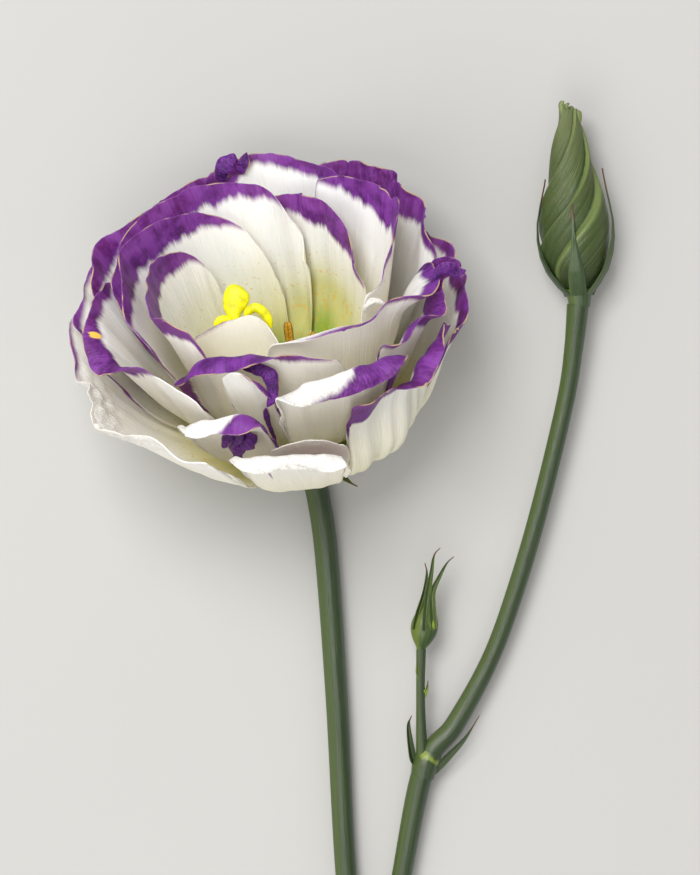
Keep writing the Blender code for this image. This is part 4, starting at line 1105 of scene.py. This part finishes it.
def pistil():
    """The ovary, its bent style and a yellow stigma with a broad lobe and two arched ones."""
    shader = Shader("stigma_skin", STIGMA_SKIN, {"bright": (0.5, 0.8)})
    down, soft = [shader.noise(shader.place, *noise) for noise in (STIGMA_DOWN, STIGMA_CLOUD)]
    dull, bright = STIGMA_YELLOW
    green = (shader.read("lime"), OVARY_GREEN)
    colour = shader.layers(dull, ((soft + down * DOWN_SHIFT).over("bright"), bright), green)
    material = shader.finish(colour, down + soft, STIGMA_DEPTH)
    body = Body()
    turned(body, OVARY, 32, in_place, lime=1.0)
    line = np.array(STYLE)
    line[:, :3] = in_place(line[:, :3])
    tube(body, line, 20, 0.4, lime=lambda share: 1 - share)
    for line in STIGMA_LOBES:
        lobe(body, line)
    body.piece("pistil", material, "stigma_yellow")


# Stamens stand on a ring round the ovary's foot. The ring's outline is radius and height, a filament's line
# radius, height and thickness. An anther's lobes give half a width and half a thickness.
STAMENS = 6
STAMEN_TURN = 73.0
RING_PROFILE = ((1.2, 7.7), (2.2, 7.75), (2.3, 8.1), (2.2, 8.5), (1.2, 8.55))
FILAMENT = ((1.95, 8.1, 0.4), (2.9, 9.6, 0.34), (4, 12, 0.3), (5.2, 16.3, 0.25))
ANTHER_PLACE = (5.5, 17.5)
ANTHER_LEAN = 0.35
ANTHER_HALF_LENGTH = 2.1
ANTHER_LOBE = (0.42, 0.5)
ANTHER_APART = 0.4
POLLEN = ((0.28, 0.12, 0.008), (0.6, 0.32, 0.012), (0.85, 0.6, 0.06))
FILAMENT_GREEN = (0.6, 0.62, 0.25)
SEAM_BROWN = (0.07, 0.02, 0.005)
# An anther's lobes come together towards their ends by ANTHER_CLOSING. The seam between them is dark.
ANTHER_POINTS = 9
ANTHER_SIDES = 24
ANTHER_CLOSING = 0.35
SEAM_HALF = 0.45
ANTHER_GRAIN = (3600, 3, 0.65)
ANTHER_DEPTH = 0.00012
ANTHER_SKIN = {"Roughness": 0.65}
ANTHER_SPANS = {"amber": (0.35, 0.6), "bright": (0.58, 0.75), "seam": (0.5, 0.9)}


def stamens():
    """Six curved filaments on a ring, each with an amber anther of two crinkled lobes and a brown seam."""
    shader = Shader("anther_skin", ANTHER_SKIN, ANTHER_SPANS)
    grain = shader.noise(shader.place, *ANTHER_GRAIN)
    dull, amber, bright = POLLEN
    colour = shader.layers(
        dull,
        (grain.over("amber"), amber),
        (grain.over("bright"), bright),
        (shader.read("tip").over("seam"), SEAM_BROWN),
        (shader.read("lime"), FILAMENT_GREEN),
    )
    material = shader.finish(colour, grain, ANTHER_DEPTH)
    body = Body()
    turned(body, RING_PROFILE, 32, in_place, steps=20, lime=1.0)
    share = np.linspace(-1, 1, ANTHER_POINTS)
    size = np.ones((ANTHER_POINTS, 1)) * ANTHER_LOBE
    for i in range(STAMENS):
        out, over = around(STAMEN_TURN + 360 / STAMENS * i)
        line = np.array([(*(out * radius + UP * height), thick) for radius, height, thick in FILAMENT])
        line[:, :3] = in_place(line[:, :3])
        tube(body, line, 12, 0.5, lime=1.0)
        tip = out * ANTHER_PLACE[0] + UP * ANTHER_PLACE[1]
        lean = unit(out * ANTHER_LEAN + UP)
        for hand in (-1, 1):
            bend = ANTHER_APART * (1 - ANTHER_CLOSING * share**2) * hand
            middle = tip + lean * (share * ANTHER_HALF_LENGTH)[:, None] + over * bend[:, None]
            seam = bell(np.cos(turns(ANTHER_SIDES)) * hand, -1.0, SEAM_HALF)
            lobe(body, np.concatenate([in_place(middle), size], 1), ANTHER_SIDES, 26, tip=seam)
    body.piece("stamens", material, "anther_amber")


# The closed bud: its foot, its tip, and its radius at shares of its length.
BUD_FOOT = (42.2, 64.3, 7.12)
BUD_TIP = (40.1, 97.6, 8.52)
BUD_PROFILE = (
    (0, 2), (0.04, 3.6), (0.1, 5.2), (0.18, 6.2), (0.27, 6.6), (0.36, 6.45), (0.46, 5.7), (0.56, 4.8),
    (0.66, 4), (0.76, 3.3), (0.85, 2.7), (0.93, 2.1), (0.97, 1.7),
)
# Its petals wrap round each other. Their free edges start at these shares of a turn, stand out by BUD_FOLD
# of the radius, wind BUD_TWIST of a turn from foot to tip, and are as sharp as BUD_EDGE of a petal's share.
# BUD_MIDDLE of a fold lies inside the profile, and folds grow over the first 1 / BUD_GROWTH of the bud.
BUD_EDGES = (0, 0.15, 0.53, 0.76, 1)
BUD_TWIST = 0.75
BUD_PHASE = 0.145
BUD_FOLD = 0.13
BUD_EDGE = 0.09
BUD_MIDDLE = 0.6
BUD_GROWTH = 5
# The profile is smoothed over BUD_SOFT of the bud's length each way, and its rings end at BUD_TOP of it.
BUD_SOFT = 0.03
BUD_TOP = 0.97
BUD_SIDES = 220
BUD_RINGS = 150
BUD_CREASE = 80.0
# Lengthwise pleats of each petal: place and half width as shares of the petal, and depth. They grow over
# the first 1 / PLEAT_GROWTH of the bud.
BUD_PLEATS = ((0.31, 0.05, 0.018), (0.62, 0.08, 0.02))
PLEAT_GROWTH = 4
# Crumpled petal tips at the bud's top: azimuth, reach as a share of the bud, radius, half width, height.
BUD_NUBS = (
    (35, 1, 1.15, 0.6, 1.4), (75, 0.99, 0.55, 0.4, 1.2), (150, 0.955, 1.5, 1, 0.6),
    (235, 0.97, 1, 0.7, 0.9), (300, 0.98, 0.8, 0.7, 1),
)
# A nub's points: how far each lies outwards, sideways and up from its place, and its half width as a share
# and half thickness. Its last point also stands out by NUB_RISE of its height.
NUB_POINTS = ((-0.5, 0, -3), (0, 0, -1.2), (0.2, 0, 0), (0, 0.5, 0))
NUB_SIZES = ((1, 0.35), (1.1, 0.35), (0.9, 0.3), (0.5, 0.22))
NUB_RISE = 0.35
# Nubs are coloured as the top of a free edge, so they take much of its painted highlight.
NUB_LOOK = {"along": 0.97, "tip": 0.1}
BUD_SHADES = (
    (0, (0.012, 0.023, 0.002)), (0.14, (0.022, 0.04, 0.004)), (0.35, (0.034, 0.058, 0.008)),
    (0.7, (0.055, 0.08, 0.016)), (1, (0.1, 0.125, 0.04)),
)
# Pale veins, and a painted highlight along each free edge.
BUD_PALE_AND_HIGHLIGHT = (0.13, 0.175, 0.05)
# Painted shade in the grooves where one petal lies over the next.
BUD_GROOVE_SHADE = (0.015, 0.035, 0.004)
BUD_SKIN = {"Roughness": 0.45, "Subsurface Weight": 0.2, "Subsurface Scale": 0.001}
BUD_SEED_STEP = 3.7
# Veins: changes over a petal's width and over the bud's length, detail, roughness. Then noises in space.
BUD_VEINS = (34, 2.2, 3, 0.55)
BUD_MOTTLES = (300, 3)
BUD_GRAIN = (2600, 2)
# How much mottles shift the shades, with the middle of that. Veins, mottles and grain in the relief.
SHADE_SHIFT = (0.14, 0.07)
BUD_RELIEF = (1.2, 0.8, 0.3)
BUD_DEPTH = 0.00015
BUD_SPANS = {
    # The edge span paints a highlight along each free edge; groove and step paint shade on both sides of
    # each seam where petals overlap.
    "veins": (0.5, 0.75, 0.35), "painted edge highlight": (0.17, 0.06, 0.85), "groove": (0.86, 0.985, 0.9),
    "step": (0.035, 0, 0.8),
}


def bud_material():
    """Yellow-green petals, darker at the foot, with pale veins, a painted highlight along each free edge and
    painted shade in the grooves where petals overlap.
    """
    shader = Shader("bud_skin", BUD_SKIN, BUD_SPANS)
    fold, along = shader.read("tip"), shader.read("along")
    across, ahead, *rest = BUD_VEINS
    veins = shader.noise((fold * across, along * ahead, shader.read("lime")), 1.0, *rest)
    mottles, grain = [shader.noise(shader.place, *noise) for noise in (BUD_MOTTLES, BUD_GRAIN)]
    shift, back = SHADE_SHIFT
    colour = shader.layers(
        shader.ramp(along + mottles * shift - back, BUD_SHADES),
        (veins.over("veins"), BUD_PALE_AND_HIGHLIGHT),
        # A painted highlight along each free edge.
        (fold.over("painted edge highlight"), BUD_PALE_AND_HIGHLIGHT),
        # Painted shade on both sides of each seam where petals overlap.
        (fold.over("groove"), BUD_GROOVE_SHADE),
        (fold.over("step"), BUD_GROOVE_SHADE),
    )
    return shader.finish(colour, blend((veins, mottles, grain), BUD_RELIEF), BUD_DEPTH)


def bud_radius(share, turn):
    """The bud's radius, and where each point lies across its petal: 0 at the free edge."""
    places, radii = np.array(BUD_PROFILE).T
    radius = sum(np.interp(share + off, places, radii) for off in (0, -BUD_SOFT, BUD_SOFT)) / 3
    wound = (turn - share * BUD_TWIST + BUD_PHASE) % 1.0
    petal = np.searchsorted(BUD_EDGES, wound, side="right") - 1
    fold = (wound - np.take(BUD_EDGES, petal)) / np.take(np.diff(BUD_EDGES), petal)
    step = np.where(fold < BUD_EDGE, fold / BUD_EDGE, (1 - fold) / (1 - BUD_EDGE))
    grow = 1 + BUD_FOLD * (ease(step) - BUD_MIDDLE) * ease(share * BUD_GROWTH) * (1 + share)
    for place, width, height in BUD_PLEATS:
        grow = grow - height * bell(fold, place, width) * ease(share * PLEAT_GROWTH)
    return radius * grow, fold, petal


def bud():
    """Petals rolled round each other up the bud, with crumpled tips at its top."""
    foot, length, axes = foot_to_tip(BUD_FOOT, BUD_TIP)
    share = shares(BUD_RINGS)[:, None]
    turn = np.linspace(0, 1, BUD_SIDES, endpoint=False)
    radius, fold, petal = bud_radius(share, turn)
    angle = 2 * np.pi * turn
    rings = [radius * np.cos(angle), radius * np.sin(angle), share * length * BUD_TOP + 0 * turn]
    body = Body()
    body.rings(np.stack(rings, -1) @ axes + foot, along=share, tip=fold, lime=petal * BUD_SEED_STEP)
    for azimuth, reach, radius, half, high in BUD_NUBS:
        out, side = around(azimuth)
        line = out * radius + UP * reach * length + NUB_POINTS @ np.array((out, side, UP))
        line[-1] += UP * NUB_RISE * high
        line = np.concatenate([line @ axes + foot, np.array(NUB_SIZES) * (half, 1.0)], 1)
        lobe(body, line, 20, 24, lime=float(azimuth), **NUB_LOOK)
    body.piece("bud", bud_material(), "bud_green", BUD_CREASE)


# The cup below the bud, and its sepals: azimuth, reach as a share of the bud, how far the tip stands off.
BUD_CUP = ((1.9, -3.4), (2, -2.8), (2.1, -2), (2.3, -1.2), (2.6, -0.6), (2.7, -0.1), (1.6, 0.1))
BUD_SEPALS = ((12, 0.6, 0.2), (84, 0.46, 0), (156, 0.64, 1.5), (228, 0.55, 0), (300, 0.5, 0))
BUD_SEPAL_HALF_WIDTHS = (1.5, 1.5, 1.2, 0.8, 0.42, 0.26, 0.15, 0.05)
# A sepal's foot hangs BUD_SEPAL_DROP low, less and less so by this power of what is left of its length. It
# lies on the bud swollen by BUD_SWELL, with a gap.
BUD_SEPAL_DROP = 1.2
BUD_DROP_POWER = 8
BUD_SEPAL_GAP = 0.1
BUD_SEPAL_DISH = -0.15
BUD_SWELL = 1.06


def bud_calyx():
    """A cup with five narrow sepals whose brown needle tips lie close along the bud."""
    foot, length, axes = foot_to_tip(BUD_FOOT, BUD_TIP)
    body = Body()
    turned(body, BUD_CUP, 40, lambda rings: rings @ axes + foot, steps=24)
    share = shares(LEAF_STEPS)
    width = through(BUD_SEPAL_HALF_WIDTHS, share)
    for azimuth, reach, stand in BUD_SEPALS:
        out, side = around(azimuth)
        radius = np.interp(share * reach, *np.array(BUD_PROFILE).T) * BUD_SWELL + BUD_SEPAL_GAP
        radius = radius + stand * share**2
        height = share * reach * length - BUD_SEPAL_DROP * (1 - share) ** BUD_DROP_POWER
        middle = (out * radius[:, None] + UP * height[:, None]) @ axes + foot
        leaf(body, middle, np.broadcast_to(side @ axes, middle.shape), width, BUD_SEPAL_DISH)
    material = green_material("bud_calyx_skin", BUD_CALYX_GREENS)
    body.piece("bud_calyx", material, "bud_calyx_green")


# The young bud: its foot and tip, its radius at shares of its length, and its sepals' middle lines.
YOUNG_FOOT = (13.7, -0.7, 6.1)
YOUNG_TIP = (15.2, 8.6, 6.9)
YOUNG_PROFILE = (
    (0.7, -0.07), (0.95, 0), (1.7, 0.12), (2.35, 0.28), (2.45, 0.45), (2, 0.62), (1.25, 0.8), (0.5, 1),
)
YOUNG_SIDES = 36
YOUNG_RINGS = 48
YOUNG_SEPAL_HALF_WIDTH = 0.75
YOUNG_SEPALS = (
    ((14.3, 2.4, 8.9), (14.5, 5.5, 8.9), (14.9, 9, 8.3), (15.5, 13, 8.5), (16, 16, 8.8),
     (17.1, 17.3, 9.1)),
    ((15.9, 2.6, 8.1), (15.7, 5.6, 8.2), (15.7, 9.2, 7.7), (16.9, 12, 7.5), (18.3, 14.5, 7.5),
     (19.6, 15.7, 7.7)),
    ((12.5, 2.6, 8), (13.2, 5.6, 8.1), (14.2, 9, 7.4), (14.7, 12.6, 7.2), (14.4, 14.6, 7.2)),
)
# Lime patches: their places round and along the bud as shares, their strength and half sizes.
YOUNG_LIME = ((0.35, 0.62), (0.55, 0.3))
YOUNG_LIME_STRENGTH = 0.7
YOUNG_LIME_HALF = (0.09, 0.12)


def young_bud():
    """A small green egg with lime patches, whose long pointed sepals stand past it."""
    foot, length, axes = foot_to_tip(YOUNG_FOOT, YOUNG_TIP)
    profile = [(radius, share * length) for radius, share in YOUNG_PROFILE]
    turn = np.linspace(0, 1, YOUNG_SIDES, endpoint=False)
    share = shares(YOUNG_RINGS)[:, None]
    wide, high = YOUNG_LIME_HALF
    patches = sum(bell(turn, place, wide) * bell(share, along, high) for place, along in YOUNG_LIME)
    lime = YOUNG_LIME_STRENGTH * patches
    body = Body()
    turned(body, profile, YOUNG_SIDES, lambda rings: rings @ axes + foot, YOUNG_RINGS, lime)
    for line in YOUNG_SEPALS:
        bract(body, line, YOUNG_SEPAL_HALF_WIDTH)
    body.piece("young_bud", green_material("young_bud_skin", YOUNG_GREENS), "young_bud_green")


# The floor: half its size in mm, two greys close to each other, and the noise that mixes them.
FLOOR_HALF = 3000.0
FLOOR_SKIN = {"Roughness": 0.8}
FLOOR_GREYS = ((0.37, 0.37, 0.365), (0.4, 0.4, 0.395))
FLOOR_MOTTLES = (9, 3)


def floor():
    shader = Shader("pale_floor", FLOOR_SKIN, {})
    colour = shader.mix(shader.noise(shader.place, *FLOOR_MOTTLES), *FLOOR_GREYS)
    corners = [(x * FLOOR_HALF, y * FLOOR_HALF, 0) for x, y in ((-1, -1), (1, -1), (1, 1), (-1, 1))]
    sheet = bpy.data.meshes.new("floor")
    sheet.from_pydata(np.array(corners) * METRES, [], [(0, 1, 2, 3)])
    sheet.materials.append(shader.finish(colour))
    add_object("floor", sheet)


# Lamps: name, place in metres, size, watts, colour. All look at LIT.
LIT = (-0.01, 0.06, 0.02)
LAMPS = (
    ("key", (-0.2, 0.34, 0.86), 0.4, 8.4, (1, 0.99, 0.965)),
    ("fill", (-0.25, -0.42, 0.72), 0.8, 5, (1, 0.98, 0.94)),
)
WORLD_LIGHT = 0.6
WORLD_COLOUR = (1, 0.985, 0.96, 1)


def studio():
    for name, place, size, watts, colour in LAMPS:
        light = bpy.data.lights.new(name, "AREA")
        light.size = size
        light.energy = watts
        light.color = colour
        piece = add_object(name, light)
        piece.location = place
        piece.rotation_euler = (Vector(LIT) - Vector(place)).to_track_quat("-Z", "Y").to_euler()
    world = bpy.data.worlds.new("studio")
    world.use_nodes = True
    background = world.node_tree.nodes["Background"]
    background.inputs["Color"].default_value = WORLD_COLOUR
    background.inputs["Strength"].default_value = WORLD_LIGHT
    bpy.context.scene.world = world
    bpy.context.scene.view_settings.view_transform = "Standard"


SENSOR_WIDTH = 36.0
CLIP_START = 0.01


def camera():
    lens = bpy.data.cameras.new("camera")
    lens.sensor_width = SENSOR_WIDTH
    lens.lens = SENSOR_WIDTH * (VIEW_HEIGHT - FOCUS_HEIGHT) / (VIEW_PIXEL * PHOTO_HEIGHT)
    lens.clip_start = CLIP_START
    piece = add_object("camera", lens)
    piece.location = np.array((*VIEW_MIDDLE, VIEW_HEIGHT)) * METRES
    bpy.context.scene.camera = piece


camera()
studio()
floor()
petals()
stem()
calyx()
pistil()
stamens()
bud()
bud_calyx()
young_bud()
